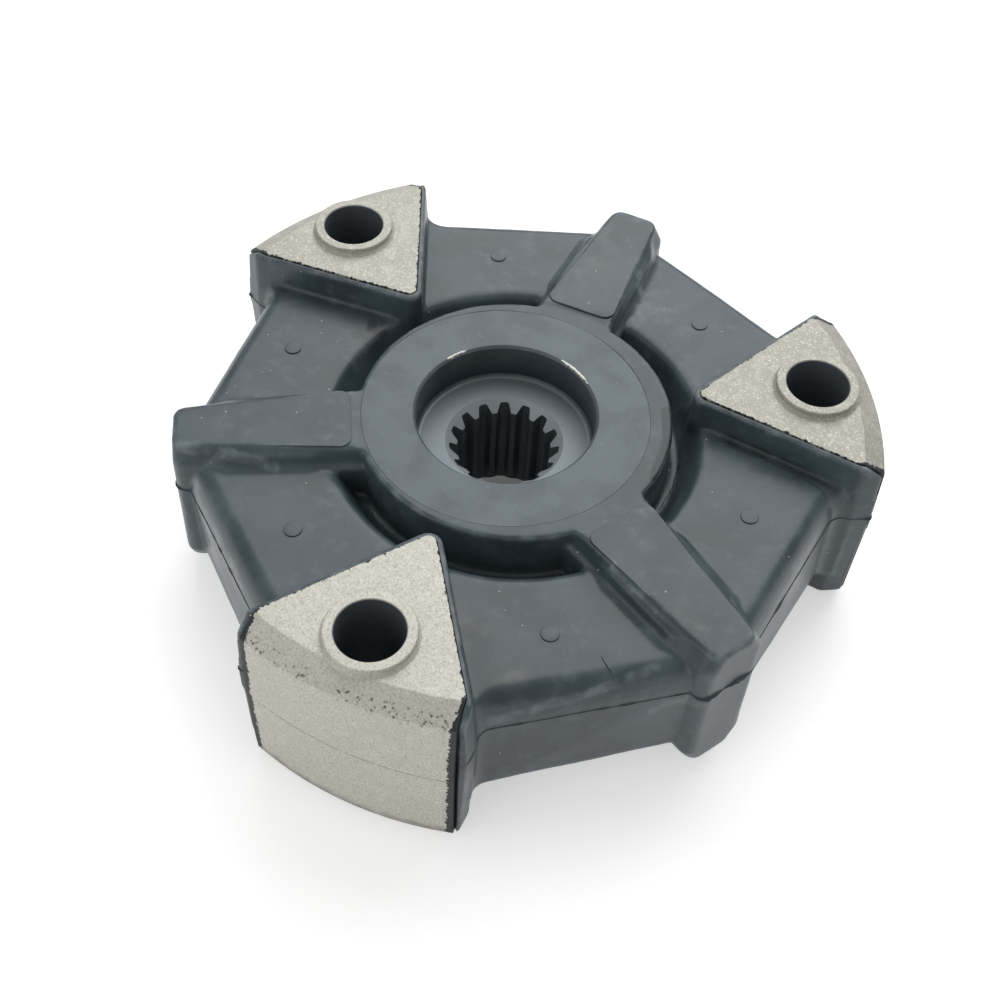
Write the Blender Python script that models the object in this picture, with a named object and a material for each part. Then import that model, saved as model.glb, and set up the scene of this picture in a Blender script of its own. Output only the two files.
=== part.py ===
"""Flexible pump coupling: a splined steel hub and three cast inserts in one rubber element.

The rubber is moulded round the hub's spider and round the flanks of the three inserts.
+Z runs along the shaft. The origin is on the axis of the bolt circle, at mid-height.
All lengths are in metres, and all angles in degrees.
"""
import math

import bmesh
import bpy
from mathutils import Matrix, Vector

# Layout
SECTORS = 3
FIRST_INSERT_ANGLE = 270.0
SECTOR_ANGLE = 360.0 / SECTORS
BOLT_CIRCLE_RADIUS = 0.0700
CIRCLE_SEGMENTS = 96
BOLT_HOLE_SEGMENTS = 64
MOULDING_GAP = 0.0003

# Insert: a cast wedge that points at the shaft, with a bolt hole and a raised boss on each face
INSERT_HEIGHT = 0.0474
INSERT_APEX_PAST_RING = 0.0048
INSERT_HALF_ANGLE = 35.0
INSERT_NOSE_RADIUS = 0.0020
INSERT_HOLE_TO_SHOULDER = 0.0045
INSERT_SIDE_SPREAD = 0.0007
INSERT_SHOULDER_RADIUS = 0.0015
INSERT_HOLE_TO_RIM = 0.0150
INSERT_BEVEL_DROP = 0.0030
INSERT_BEVEL_START = 0.0059
INSERT_BEVEL_END = 0.0010
INSERT_PARTING_Z = 0.0011
INSERT_FLOOR_EDGE = 0.0008
BOSS_HEIGHT = 0.0018
BOSS_RADIUS = 0.0096
BOSS_EDGE = 0.0003
BOLT_HOLE_RADIUS = 0.00725

# Hub: a turned boss with a counterbore, a splined bore and a spider arm in each rubber arm
HUB_HEIGHT = 0.0398
HUB_RADIUS = 0.0332
HUB_EDGE = 0.0004
HUB_SHIFT_X = -0.0020
HUB_SHIFT_Y = -0.0007
COUNTERBORE_RADIUS = 0.0208
COUNTERBORE_DEPTH = 0.0100
COUNTERBORE_FLOOR_RADIUS = 0.0010
COUNTERBORE_RIM_CHAMFER = 0.0005
SPLINE_TEETH = 15
SPLINE_MODULE = 0.0015875
SPLINE_FLANK_ANGLE = 30.0
SPLINE_ROOT_RADIUS = 0.0130
SPLINE_TIP_RADIUS = 0.0111
SPLINE_MOUTH_CHAMFER = 0.0005
SPIDER_HEIGHT = 0.0240
SPIDER_HALF_WIDTH = 0.0042
SPIDER_TAPER = 0.0008
SPIDER_END_COVER = 0.0160
SPIDER_END_RADIUS = 0.0020

# Rubber ring round the hub
RING_WALL = 0.0031
RING_EDGE = 0.0006

# Rubber arms: raised ribs that run from the ring to the rim
ARM_HEIGHT = 0.0406
ARM_PAST_BOLT_CIRCLE = 0.0084
ARM_TOP_HALF_WIDTH_AT_RING = 0.0093
ARM_TOP_HALF_WIDTH_AT_RIM = 0.0061
ARM_FOOT_HALF_WIDTH_AT_RING = 0.0099
ARM_FOOT_HALF_WIDTH_AT_RIM = 0.0080
ARM_EDGE_RADIUS = 0.0010
ARM_FOOT_FILLET = 0.0030
ARM_NECK_FILLET = 0.0016
ARM_END_RADIUS = 0.0025
ARM_END_LEAN = 0.0010
ARM_STEP_AT_RING = 0.0012
ARM_SINK_IN_RING = 0.0020
ARM_FILLET_GROWS_OVER = 0.0040
ARM_FILLET_STOPS_BEFORE_RIM = 0.0020
ARM_FILLET_GONE_PAST_RIM = 0.0030
ARM_SMALLEST_FILLET = 0.0001

# Rubber webs: the plates between the arms and the inserts
WEB_HEIGHT = 0.0316
PARTING_BELOW_WEB_TOP = 0.0085
WEB_TOP_PAST_BOLT_CIRCLE = -0.0022
WEB_PARTING_PAST_BOLT_CIRCLE = 0.0026
WEB_FLOOR_PAST_BOLT_CIRCLE = 0.0031
WEB_TOP_SLOPE = 0.12
WEB_PARTING_SLOPE = 0.13
WEB_FLOOR_SLOPE = 0.157
WEB_FLOOR_ROUND = 0.0018
WEB_CORNER_RADIUS_TOP = 0.0060
WEB_CORNER_RADIUS_FLOOR = 0.0038
WEB_SINK_IN_SKIRT = 0.0002

# Grooves between the ring and the webs, which meet in a thin floor at the parting line
GROOVE_THROAT = 0.0030
GROOVE_MOUTH = 0.0071
GROOVE_FOOT = 0.0048
GROOVE_EDGE = 0.0015
GROOVE_EDGE_BREAK = 0.0006
GROOVE_FLOOR = 0.0015

# Rubber skirts on the flanks of the inserts: thickest at the parting line, thinner at each face
SKIRT_NOSE_WALL = 0.0015
SKIRT_NOSE_WALL_AT_FACE = 0.0012
SKIRT_SHOULDER_WALL = 0.0020
SKIRT_SHOULDER_WALL_AT_FACE = 0.0010
SKIRT_BELOW_INSERT_FACE = 0.0004
SKIRT_BEFORE_RIM_CORNER = 0.0009
SKIRT_EDGE = 0.0004

# How finely curves are drawn
ROUND_STEPS = 5
RIM_STEPS = 6
FLOOR_ROUND_STEPS = 3
WEB_FLARE_STEPS = 6
NOSE_ARC_END = 175.0

# How far a round edge lies inside its corner, halfway along its arc, as a share of its radius
ROUND_MIDDLE = 0.3

# Sizes that follow from the ones above
RING_RADIUS = HUB_RADIUS + RING_WALL
HUB_SHIFT = Vector((HUB_SHIFT_X, HUB_SHIFT_Y))
INSERT_APEX = RING_RADIUS + INSERT_APEX_PAST_RING
INSERT_SHOULDER = BOLT_CIRCLE_RADIUS + INSERT_HOLE_TO_SHOULDER
ARM_END = BOLT_CIRCLE_RADIUS + ARM_PAST_BOLT_CIRCLE
PARTING_Z = WEB_HEIGHT / 2 - PARTING_BELOW_WEB_TOP
CUT_HALF_HEIGHT = INSERT_HEIGHT / 2 + BOSS_HEIGHT + 0.01


def insert_angles():
    """Return the angle of each insert."""
    return [FIRST_INSERT_ANGLE - i * SECTOR_ANGLE for i in range(SECTORS)]


def arm_angles():
    """Return the angle of each rubber arm, halfway between two inserts."""
    return [angle + SECTOR_ANGLE / 2 for angle in insert_angles()]


def on_circle(radius, degrees):
    """Return the point at a radius and angle."""
    turn = math.radians(degrees)
    return Vector((radius * math.cos(turn), radius * math.sin(turn)))


def arc(centre, radius, start, end, steps):
    """Return points along an arc from one angle to another, both ends included."""
    return [centre + on_circle(radius, start + (end - start) * i / steps) for i in range(steps + 1)]


def meet(point_a, direction_a, point_b, direction_b):
    """Return the point where two lines cross."""
    cross = direction_a.x * direction_b.y - direction_a.y * direction_b.x
    between = point_b - point_a
    along = (between.x * direction_b.y - between.y * direction_b.x) / cross
    return point_a + direction_a * along


def fillet(before, corner, after, radius, steps=ROUND_STEPS):
    """Return the points of an arc that rounds the corner between two straight lines."""
    back = (before - corner).normalized()
    ahead = (after - corner).normalized()
    half = back.angle(ahead) / 2
    run = radius / math.tan(half)
    centre = corner + (back + ahead).normalized() * radius / math.sin(half)
    first = corner + back * run - centre
    last = corner + ahead * run - centre
    start = math.degrees(math.atan2(first.y, first.x))
    sweep = (math.degrees(math.atan2(last.y, last.x)) - start + 180.0) % 360.0 - 180.0
    return arc(centre, radius, start, start + sweep, steps)


def mirrored(points):
    """Return an outline's half together with its mirror image across the X axis."""
    return points + [Vector((p.x, -p.y)) for p in reversed(points)]


def grown(outline, distance):
    """Return a counter-clockwise outline with each side moved out by a distance."""
    result = []
    for i, point in enumerate(outline):
        before = (point - outline[i - 1]).normalized()
        after = (outline[(i + 1) % len(outline)] - point).normalized()
        out_before = Vector((before.y, -before.x))
        out_after = Vector((after.y, -after.x))
        result.append(point + (out_before + out_after) * distance / (1 + out_before.dot(out_after)))
    return result


def at_height(outline, height):
    """Lift a flat outline to a height."""
    return [Vector((p.x, p.y, height)) for p in outline]


def circle(radius, height, segments=CIRCLE_SEGMENTS):
    """Return a ring of points round the Z axis."""
    return at_height([on_circle(radius, 360.0 * i / segments) for i in range(segments)], height)


def stack(outline, levels):
    """Loft one outline through levels, each a height and how far the outline shrinks there."""
    return [at_height(grown(outline, -inset), height) for height, inset in levels]


def edge_levels(half_height, edge):
    """Return the levels of a block whose top and bottom edges are chamfered."""
    return [(-half_height, edge), (-half_height + edge, 0), (half_height - edge, 0), (half_height, edge)]


def solid(name, rings, angles=(0.0,), shift=(0.0, 0.0)):
    """Make an object from closed rings of equal length, skinned and capped, once at each angle."""
    mesh_builder = bmesh.new()
    for angle in angles:
        turn = Matrix.Rotation(math.radians(angle), 3, "Z")
        rows = [[mesh_builder.verts.new(turn @ point) for point in ring] for ring in rings]
        for low, high in zip(rows, rows[1:]):
            for i in range(len(low)):
                mesh_builder.faces.new((low[i - 1], low[i], high[i], high[i - 1]))
        mesh_builder.faces.new(rows[0])
        mesh_builder.faces.new(rows[-1])
    bmesh.ops.recalc_face_normals(mesh_builder, faces=mesh_builder.faces)
    mesh = bpy.data.meshes.new(name)
    mesh_builder.to_mesh(mesh)
    mesh_builder.free()
    body = bpy.data.objects.new(name, mesh)
    body.location = (shift[0], shift[1], 0.0)
    bpy.context.scene.collection.objects.link(body)
    return body


def combine(body, operation, tools):
    """Join or cut a body with tool objects, apply the result and remove the tools."""
    for tool in tools:
        tool.hide_render = True
        tool.display_type = "WIRE"
        step = body.modifiers.new(tool.name, "BOOLEAN")
        step.operation = operation
        step.solver = "EXACT"
        step.object = tool
    bpy.context.view_layer.update()
    evaluated = body.evaluated_get(bpy.context.evaluated_depsgraph_get())
    result = bpy.data.meshes.new_from_object(evaluated)
    body.modifiers.clear()
    body.data = result
    for tool in tools:
        bpy.data.objects.remove(tool, do_unlink=True)


def finish(body, material):
    """Give a body its material and shade it smooth up to its sharp edges."""
    body.data.materials.clear()
    body.data.materials.append(material)
    body.data.shade_smooth()
    body.data.set_sharp_from_angle(angle=math.radians(30))


def make_material(name, colour, roughness, metallic):
    """Make a Principled material from a linear colour."""
    material = bpy.data.materials.new(name)
    material.use_nodes = True
    shader = material.node_tree.nodes["Principled BSDF"]
    shader.inputs["Base Color"].default_value = (*colour, 1.0)
    shader.inputs["Roughness"].default_value = roughness
    shader.inputs["Metallic"].default_value = metallic
    return material


# Insert

def insert_half_width():
    """Return half the width of the wedge at its shoulders, where the flanks end."""
    return (INSERT_SHOULDER - INSERT_APEX) * math.tan(math.radians(INSERT_HALF_ANGLE))


def rim_levels():
    """Return the profile of the insert's rim as heights and insets, from the floor to the face."""
    half_height = INSERT_HEIGHT / 2
    return [
        (-half_height, INSERT_FLOOR_EDGE),
        (INSERT_FLOOR_EDGE - half_height, 0.0),
        (INSERT_PARTING_Z, 0.0),
        (half_height - INSERT_BEVEL_DROP, INSERT_BEVEL_END),
        (half_height, INSERT_BEVEL_START),
    ]


def rim_corner(height):
    """Return the corner where the insert's side meets its rim at one height."""
    shoulder = Vector((INSERT_SHOULDER, insert_half_width()))
    rim = BOLT_CIRCLE_RADIUS + INSERT_HOLE_TO_RIM
    full_y = shoulder.y + INSERT_SIDE_SPREAD
    side = (Vector((math.sqrt(rim ** 2 - full_y ** 2), full_y)) - shoulder).normalized()
    levels = rim_levels()
    for (low, low_inset), (high, high_inset) in zip(levels, levels[1:]):
        if height <= high:
            share = max(0.0, (height - low) / (high - low))
            inset = low_inset + (high_inset - low_inset) * share
            break
    along = shoulder.dot(side)
    run = math.sqrt(along ** 2 - shoulder.length_squared + (rim - inset) ** 2) - along
    return shoulder + side * run


def insert_outline(height):
    """Return the wedge's outline at one height, its nose towards the shaft and its bolt hole on +X."""
    apex = Vector((INSERT_APEX, 0.0))
    shoulder = Vector((INSERT_SHOULDER, insert_half_width()))
    corner = rim_corner(height)
    rim_angle = math.degrees(math.atan2(corner.y, corner.x))
    nose_centre = apex + Vector((INSERT_NOSE_RADIUS / math.sin(math.radians(INSERT_HALF_ANGLE)), 0.0))
    half = arc(Vector((0.0, 0.0)), corner.length, rim_angle / (2 * RIM_STEPS), rim_angle, RIM_STEPS)
    half += fillet(corner, shoulder, apex, INSERT_SHOULDER_RADIUS)
    half += arc(nose_centre, INSERT_NOSE_RADIUS, 90.0 + INSERT_HALF_ANGLE, NOSE_ARC_END, ROUND_STEPS)
    return mirrored(half)


def build_inserts(material):
    """Make the inserts: one cast shape, set on each bolt position."""
    rings = [at_height(insert_outline(height), height) for height, inset in rim_levels()]
    body = solid("insert_1", rings)
    hole_spot = (BOLT_CIRCLE_RADIUS, 0.0)
    boss_half = INSERT_HEIGHT / 2 + BOSS_HEIGHT
    boss_levels = edge_levels(boss_half, BOSS_EDGE)
    boss_rings = [circle(BOSS_RADIUS - inset, z, BOLT_HOLE_SEGMENTS) for z, inset in boss_levels]
    combine(body, "UNION", [solid("boss", boss_rings, shift=hole_spot)])
    through = (-CUT_HALF_HEIGHT, CUT_HALF_HEIGHT)
    hole_rings = [circle(BOLT_HOLE_RADIUS, z, BOLT_HOLE_SEGMENTS) for z in through]
    combine(body, "DIFFERENCE", [solid("bolt_hole", hole_rings, shift=hole_spot)])
    body.data.transform(Matrix.Translation((-BOLT_CIRCLE_RADIUS, 0.0, 0.0)))
    finish(body, material)
    for i, angle in enumerate(insert_angles()):
        insert = body
        if i > 0:
            insert = bpy.data.objects.new(f"insert_{i + 1}", body.data)
            bpy.context.scene.collection.objects.link(insert)
        spot = on_circle(BOLT_CIRCLE_RADIUS, angle)
        insert.location = (spot.x, spot.y, 0.0)
        insert.rotation_euler = (0.0, 0.0, math.radians(angle))


# Hub

def spline_outline():
    """Return the bore's outline: straight-sided grooves, one of them on each arm's axis."""
    pitch_radius = SPLINE_TEETH * SPLINE_MODULE / 2
    half_space = math.pi * SPLINE_MODULE / 4
    lean = math.tan(math.radians(SPLINE_FLANK_ANGLE))
    root_half = half_space - (SPLINE_ROOT_RADIUS - pitch_radius) * lean
    tip_half = half_space + (pitch_radius - SPLINE_TIP_RADIUS) * lean
    root_turn = math.degrees(root_half / SPLINE_ROOT_RADIUS)
    tip_turn = math.degrees(tip_half / SPLINE_TIP_RADIUS)
    outline = []
    for tooth in range(SPLINE_TEETH):
        middle = arm_angles()[0] + tooth * 360.0 / SPLINE_TEETH
        outline.append(on_circle(SPLINE_TIP_RADIUS, middle - tip_turn))
        outline.append(on_circle(SPLINE_ROOT_RADIUS, middle - root_turn))
        outline.append(on_circle(SPLINE_ROOT_RADIUS, middle))
        outline.append(on_circle(SPLINE_ROOT_RADIUS, middle + root_turn))
        outline.append(on_circle(SPLINE_TIP_RADIUS, middle + tip_turn))
    return outline


def spider_rings(gap):
    """Return the rings of one spider arm along +X, larger all round by a gap."""
    end = ARM_END - SPIDER_END_COVER + gap
    start = (COUNTERBORE_RADIUS + HUB_RADIUS) / 2
    half_height = SPIDER_HEIGHT / 2 + gap
    root = SPIDER_HALF_WIDTH + gap
    tip = SPIDER_HALF_WIDTH - SPIDER_TAPER + gap
    corner = Vector((end, tip))
    outline = mirrored(fillet(Vector((end, 0.0)), corner, Vector((start, root)), SPIDER_END_RADIUS)
                       + [Vector((start, root))])
    return stack(outline, [(-half_height, 0), (half_height, 0)])


def build_hub(material):
    """Make the hub with its counterbore, splined bore and spider arms."""
    half_height = HUB_HEIGHT / 2
    body = solid("hub", [circle(HUB_RADIUS - inset, z) for z, inset in edge_levels(half_height, HUB_EDGE)])
    combine(body, "UNION", [solid("spider", spider_rings(0.0), arm_angles())])

    floor = half_height - COUNTERBORE_DEPTH
    flat = COUNTERBORE_RADIUS - COUNTERBORE_FLOOR_RADIUS
    corner = arc(Vector((flat, floor + COUNTERBORE_FLOOR_RADIUS)), COUNTERBORE_FLOOR_RADIUS, 270.0, 360.0, 4)
    rim = COUNTERBORE_RADIUS + COUNTERBORE_RIM_CHAMFER
    profile = [(p.x, p.y) for p in corner]
    profile += [(COUNTERBORE_RADIUS, half_height - COUNTERBORE_RIM_CHAMFER), (rim, half_height)]
    profile += [(rim, CUT_HALF_HEIGHT)]
    counterbore = solid("counterbore", [circle(radius, z) for radius, z in profile])

    bore = solid("splined_bore", stack(spline_outline(), [(-CUT_HALF_HEIGHT, 0), (CUT_HALF_HEIGHT, 0)]))

    mouth = SPLINE_ROOT_RADIUS + SPLINE_MOUTH_CHAMFER
    throat = SPLINE_TIP_RADIUS - SPLINE_MOUTH_CHAMFER
    depth = mouth - throat
    top_rings = [circle(throat, floor - depth), circle(mouth, floor), circle(mouth, floor + depth)]
    low_levels = [(throat, depth - half_height), (mouth, -half_height), (mouth, -CUT_HALF_HEIGHT)]
    low_rings = [circle(radius, z) for radius, z in low_levels]
    mouths = [solid("top_mouth", top_rings), solid("low_mouth", low_rings)]
    combine(body, "DIFFERENCE", [counterbore, bore] + mouths)
    finish(body, material)
    body.location = (HUB_SHIFT.x, HUB_SHIFT.y, 0.0)


# Rubber element

def skirt_walls(height):
    """Return the skirt's wall at the nose and at the shoulder, at one height."""
    top = INSERT_HEIGHT / 2 - SKIRT_BELOW_INSERT_FACE
    reach = top - PARTING_Z if height > PARTING_Z else top + PARTING_Z
    share = min(1.0, abs(height - PARTING_Z) / reach)
    nose = SKIRT_NOSE_WALL + (SKIRT_NOSE_WALL_AT_FACE - SKIRT_NOSE_WALL) * share
    shoulder = SKIRT_SHOULDER_WALL + (SKIRT_SHOULDER_WALL_AT_FACE - SKIRT_SHOULDER_WALL) * share
    return nose, shoulder


def flank_line(height, sink=0.0):
    """Return a point and direction on the skirt's outer flank, moved into the rubber by sink."""
    half_angle = math.radians(INSERT_HALF_ANGLE)
    normal = Vector((-math.sin(half_angle), math.cos(half_angle)))
    apex = Vector((INSERT_APEX, 0.0))
    shoulder = Vector((INSERT_SHOULDER, insert_half_width()))
    nose_wall, shoulder_wall = skirt_walls(height)
    start = apex + normal * (nose_wall - sink)
    end = shoulder + normal * (shoulder_wall - sink)
    return start, (end - start).normalized()


def skirt_ring(height, inset=0.0):
    """Return one ring of a skirt block, with the insert's axis along +X."""
    start, along = flank_line(height)
    nose_wall, shoulder_wall = skirt_walls(height)
    centre_line = Vector((1.0, 0.0))
    nose = meet(start, along, Vector((0.0, 0.0)), centre_line)
    corner = rim_corner(height)
    side = Vector((0.0, insert_half_width() + INSERT_SIDE_SPREAD + shoulder_wall))
    shoulder = meet(start, along, side, centre_line)
    end_x = max(corner.x - SKIRT_BEFORE_RIM_CORNER, shoulder.x + shoulder_wall)
    end = Vector((end_x, side.y))
    nose_radius = INSERT_NOSE_RADIUS + nose_wall
    lean = math.degrees(math.atan2(along.y, along.x))
    nose_centre = nose + centre_line * nose_radius / math.sin(math.radians(lean))
    half = [end]
    half += fillet(end, shoulder, nose, shoulder_wall)
    half += arc(nose_centre, nose_radius, 90.0 + lean, NOSE_ARC_END, ROUND_STEPS)
    return at_height(grown(mirrored(half), -inset), height)


def skirt_rings():
    """Return the rings of one skirt block: widest at the parting line, drafted to each face."""
    top = INSERT_HEIGHT / 2 - SKIRT_BELOW_INSERT_FACE
    return [
        skirt_ring(-top, SKIRT_EDGE),
        skirt_ring(SKIRT_EDGE - top),
        skirt_ring(PARTING_Z),
        skirt_ring(INSERT_HEIGHT / 2 - INSERT_BEVEL_DROP),
        skirt_ring(top - SKIRT_EDGE),
        skirt_ring(top, SKIRT_EDGE),
    ]


def web_outline(height, reach, slope, corner_radius):
    """Return the rim outline of all the webs at one height.

    Each web's wall is a straight line. Its distance from the shaft, along the direction
    halfway between arm and insert, is reach, and it grows by slope towards the insert.
    """
    quarter = math.radians(SECTOR_ANGLE / 4)
    outward = Vector((math.cos(quarter), math.sin(quarter)))
    to_insert = Vector((math.sin(quarter), -math.cos(quarter)))
    wall_point = outward * reach
    wall = (to_insert + outward * slope).normalized()
    arm_axis = on_circle(1.0, SECTOR_ANGLE / 2)
    at_arm = meet(wall_point, wall, Vector((0.0, 0.0)), arm_axis)
    flank_point, flank = flank_line(height, sink=WEB_SINK_IN_SKIRT)
    corner = meet(wall_point, wall, flank_point, flank)
    half = fillet(corner + flank, corner, at_arm, corner_radius)
    outline = []
    for angle in reversed(insert_angles()):
        turn = Matrix.Rotation(math.radians(angle), 2)
        outline += [turn @ p for p in [Vector((q.x, -q.y)) for q in reversed(half)]]
        outline += [turn @ p for p in half]
        outline.append(turn @ at_arm)
    return at_height(outline, height)


def web_rings():
    """Return the rings of the web plate: rounded below, flared from its top to the parting line."""
    top = WEB_HEIGHT / 2
    floor_reach = BOLT_CIRCLE_RADIUS + WEB_FLOOR_PAST_BOLT_CIRCLE
    parting_reach = BOLT_CIRCLE_RADIUS + WEB_PARTING_PAST_BOLT_CIRCLE
    top_reach = BOLT_CIRCLE_RADIUS + WEB_TOP_PAST_BOLT_CIRCLE
    rings = []
    for i in range(FLOOR_ROUND_STEPS + 1):
        turn = math.radians(90.0 * i / FLOOR_ROUND_STEPS)
        height = -top + WEB_FLOOR_ROUND * (1 - math.sin(turn))
        reach = floor_reach - WEB_FLOOR_ROUND * (1 - math.cos(turn))
        rings.insert(0, web_outline(height, reach, WEB_FLOOR_SLOPE, WEB_CORNER_RADIUS_FLOOR))
    for i in range(WEB_FLARE_STEPS + 1):
        turn = math.radians(90.0 * i / WEB_FLARE_STEPS)
        share = 1 - math.cos(turn)
        height = PARTING_Z + PARTING_BELOW_WEB_TOP * math.sin(turn)
        reach = parting_reach + (top_reach - parting_reach) * share
        slope = WEB_PARTING_SLOPE + (WEB_TOP_SLOPE - WEB_PARTING_SLOPE) * share
        corner = WEB_CORNER_RADIUS_FLOOR + (WEB_CORNER_RADIUS_TOP - WEB_CORNER_RADIUS_FLOOR) * share
        rings.append(web_outline(height, reach, slope, corner))
    return rings


def groove_plug(name, levels):
    """Make the round cutter of one groove from levels, each a distance from the ring and a height."""
    return solid(name, [circle(RING_RADIUS + reach, z) for reach, z in levels])


def groove_cutters():
    """Make the cutters that open the web plate round the ring from above and from below."""
    top = WEB_HEIGHT / 2
    floor = PARTING_Z - GROOVE_FLOOR
    upper = [
        (GROOVE_THROAT, PARTING_Z),
        (GROOVE_MOUTH - GROOVE_EDGE_BREAK, top - GROOVE_EDGE),
        (GROOVE_MOUTH, top - GROOVE_EDGE_BREAK),
        (GROOVE_MOUTH + GROOVE_EDGE, top),
        (GROOVE_MOUTH + GROOVE_EDGE, top + GROOVE_EDGE),
    ]
    lower = [
        (GROOVE_FOOT + GROOVE_EDGE, -top - GROOVE_EDGE),
        (GROOVE_FOOT + GROOVE_EDGE, -top),
        (GROOVE_FOOT, -top + GROOVE_EDGE),
        (GROOVE_THROAT, floor),
    ]
    return [groove_plug("upper_groove", upper), groove_plug("lower_groove", lower)]


def arm_fillet(reach):
    """Return the radius of the fillet at an arm's foot: narrow at the neck, gone at the rim."""
    rim = BOLT_CIRCLE_RADIUS + WEB_TOP_PAST_BOLT_CIRCLE
    stops = [
        (RING_RADIUS, ARM_NECK_FILLET),
        (RING_RADIUS + GROOVE_MOUTH, ARM_NECK_FILLET),
        (RING_RADIUS + GROOVE_MOUTH + ARM_FILLET_GROWS_OVER, ARM_FOOT_FILLET),
        (rim - ARM_FILLET_STOPS_BEFORE_RIM, ARM_FOOT_FILLET),
        (rim + ARM_FILLET_GONE_PAST_RIM, ARM_SMALLEST_FILLET),
    ]
    for (low, low_radius), (high, high_radius) in zip(stops, stops[1:]):
        if reach <= high:
            share = max(0.0, (reach - low) / (high - low))
            return low_radius + (high_radius - low_radius) * share
    return stops[-1][1]


def arm_section(reach, shrink):
    """Return one section across an arm as points (across, height), narrower each side by shrink."""
    share = (reach - RING_RADIUS) / (ARM_END - RING_RADIUS)
    top_taper = ARM_TOP_HALF_WIDTH_AT_RING - ARM_TOP_HALF_WIDTH_AT_RIM
    foot_taper = ARM_FOOT_HALF_WIDTH_AT_RING - ARM_FOOT_HALF_WIDTH_AT_RIM
    top_half = ARM_TOP_HALF_WIDTH_AT_RING - top_taper * share - shrink
    foot_half = ARM_FOOT_HALF_WIDTH_AT_RING - foot_taper * share - shrink
    top = ARM_HEIGHT / 2
    web = WEB_HEIGHT / 2
    foot = arm_fillet(reach)
    edge = ARM_EDGE_RADIUS
    quarter = [
        (top_half - edge, top),
        (top_half - ROUND_MIDDLE * edge, top - ROUND_MIDDLE * edge),
        (top_half, top - edge),
        (foot_half, web + foot),
        (foot_half + ROUND_MIDDLE * foot, web + ROUND_MIDDLE * foot),
        (foot_half + foot, web - ARM_SMALLEST_FILLET),
    ]
    right = quarter + [(across, -height) for across, height in reversed(quarter)]
    return right + [(-across, height) for across, height in reversed(right)]


def arm_rings():
    """Return the rings of one arm along +X: a tapered rib with a rounded, leaning end."""
    rim = BOLT_CIRCLE_RADIUS + WEB_TOP_PAST_BOLT_CIRCLE
    neck = RING_RADIUS + GROOVE_MOUTH
    end_of_foot = rim + ARM_FILLET_GONE_PAST_RIM
    stations = [(HUB_RADIUS - ARM_SINK_IN_RING, 0.0), (RING_RADIUS, 0.0), (neck, 0.0)]
    stations += [(neck + ARM_FILLET_GROWS_OVER, 0.0), (rim - ARM_FILLET_STOPS_BEFORE_RIM, 0.0)]
    stations += [(end_of_foot, 0.0)]
    for i in range(FLOOR_ROUND_STEPS + 1):
        turn = math.radians(90.0 * i / FLOOR_ROUND_STEPS)
        reach = ARM_END - ARM_END_RADIUS * (1 - math.sin(turn))
        stations.append((reach, ARM_END_RADIUS * (1 - math.cos(turn))))
    rings = []
    for reach, shrink in stations:
        ring = []
        for across, height in arm_section(reach, shrink):
            above = max(0.0, (height - PARTING_Z) / (ARM_HEIGHT / 2 - PARTING_Z))
            lean = ARM_END_LEAN * above if reach > end_of_foot else 0.0
            ring.append(Vector((reach - lean, across, height)))
        rings.append(ring)
    return rings


def build_rubber(material):
    """Make the rubber element: webs, ring, arms and skirts, cut to take the hub and the inserts."""
    body = solid("rubber_element", web_rings())
    combine(body, "DIFFERENCE", groove_cutters())

    ring_levels = edge_levels(HUB_HEIGHT / 2, RING_EDGE)
    ring = solid("ring", [circle(RING_RADIUS - inset, z) for z, inset in ring_levels])
    arms = solid("arms", arm_rings(), arm_angles())
    step_radius = RING_RADIUS + ARM_STEP_AT_RING
    step_top = solid("step_top", [circle(step_radius, z) for z in (HUB_HEIGHT / 2, CUT_HALF_HEIGHT)])
    step_low = solid("step_low", [circle(step_radius, z) for z in (-CUT_HALF_HEIGHT, -HUB_HEIGHT / 2)])
    combine(arms, "DIFFERENCE", [step_top, step_low])
    skirts = solid("skirts", skirt_rings(), insert_angles())
    combine(body, "UNION", [arms, ring, skirts])

    wedge_outline = grown(insert_outline(INSERT_PARTING_Z), MOULDING_GAP)
    wedge = stack(wedge_outline, [(-CUT_HALF_HEIGHT, 0), (CUT_HALF_HEIGHT, 0)])
    wedges = solid("wedges", wedge, insert_angles())
    bore_rings = [circle(HUB_RADIUS + MOULDING_GAP, z) for z in (-CUT_HALF_HEIGHT, CUT_HALF_HEIGHT)]
    bore = solid("bore", bore_rings, shift=HUB_SHIFT)
    pockets = solid("pockets", spider_rings(MOULDING_GAP), arm_angles(), shift=HUB_SHIFT)
    combine(body, "DIFFERENCE", [wedges, bore, pockets])
    finish(body, material)


def main():
    """Clear the scene and build the coupling."""
    for item in list(bpy.data.objects):
        bpy.data.objects.remove(item, do_unlink=True)
    build_hub(make_material("hub_steel", (0.19, 0.20, 0.21), 0.45, 0.9))
    build_rubber(make_material("rubber", (0.10, 0.12, 0.13), 0.6, 0.0))
    build_inserts(make_material("cast_aluminium", (0.48, 0.47, 0.44), 0.6, 0.8))


main()
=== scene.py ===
"""Looks of the flexible pump coupling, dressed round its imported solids.

Lengths are in metres. +Z runs along the shaft, out of the counterbored face of the hub,
and the origin is on the axis of the bolt circle at mid-height, as in the solids.
"""

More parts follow.
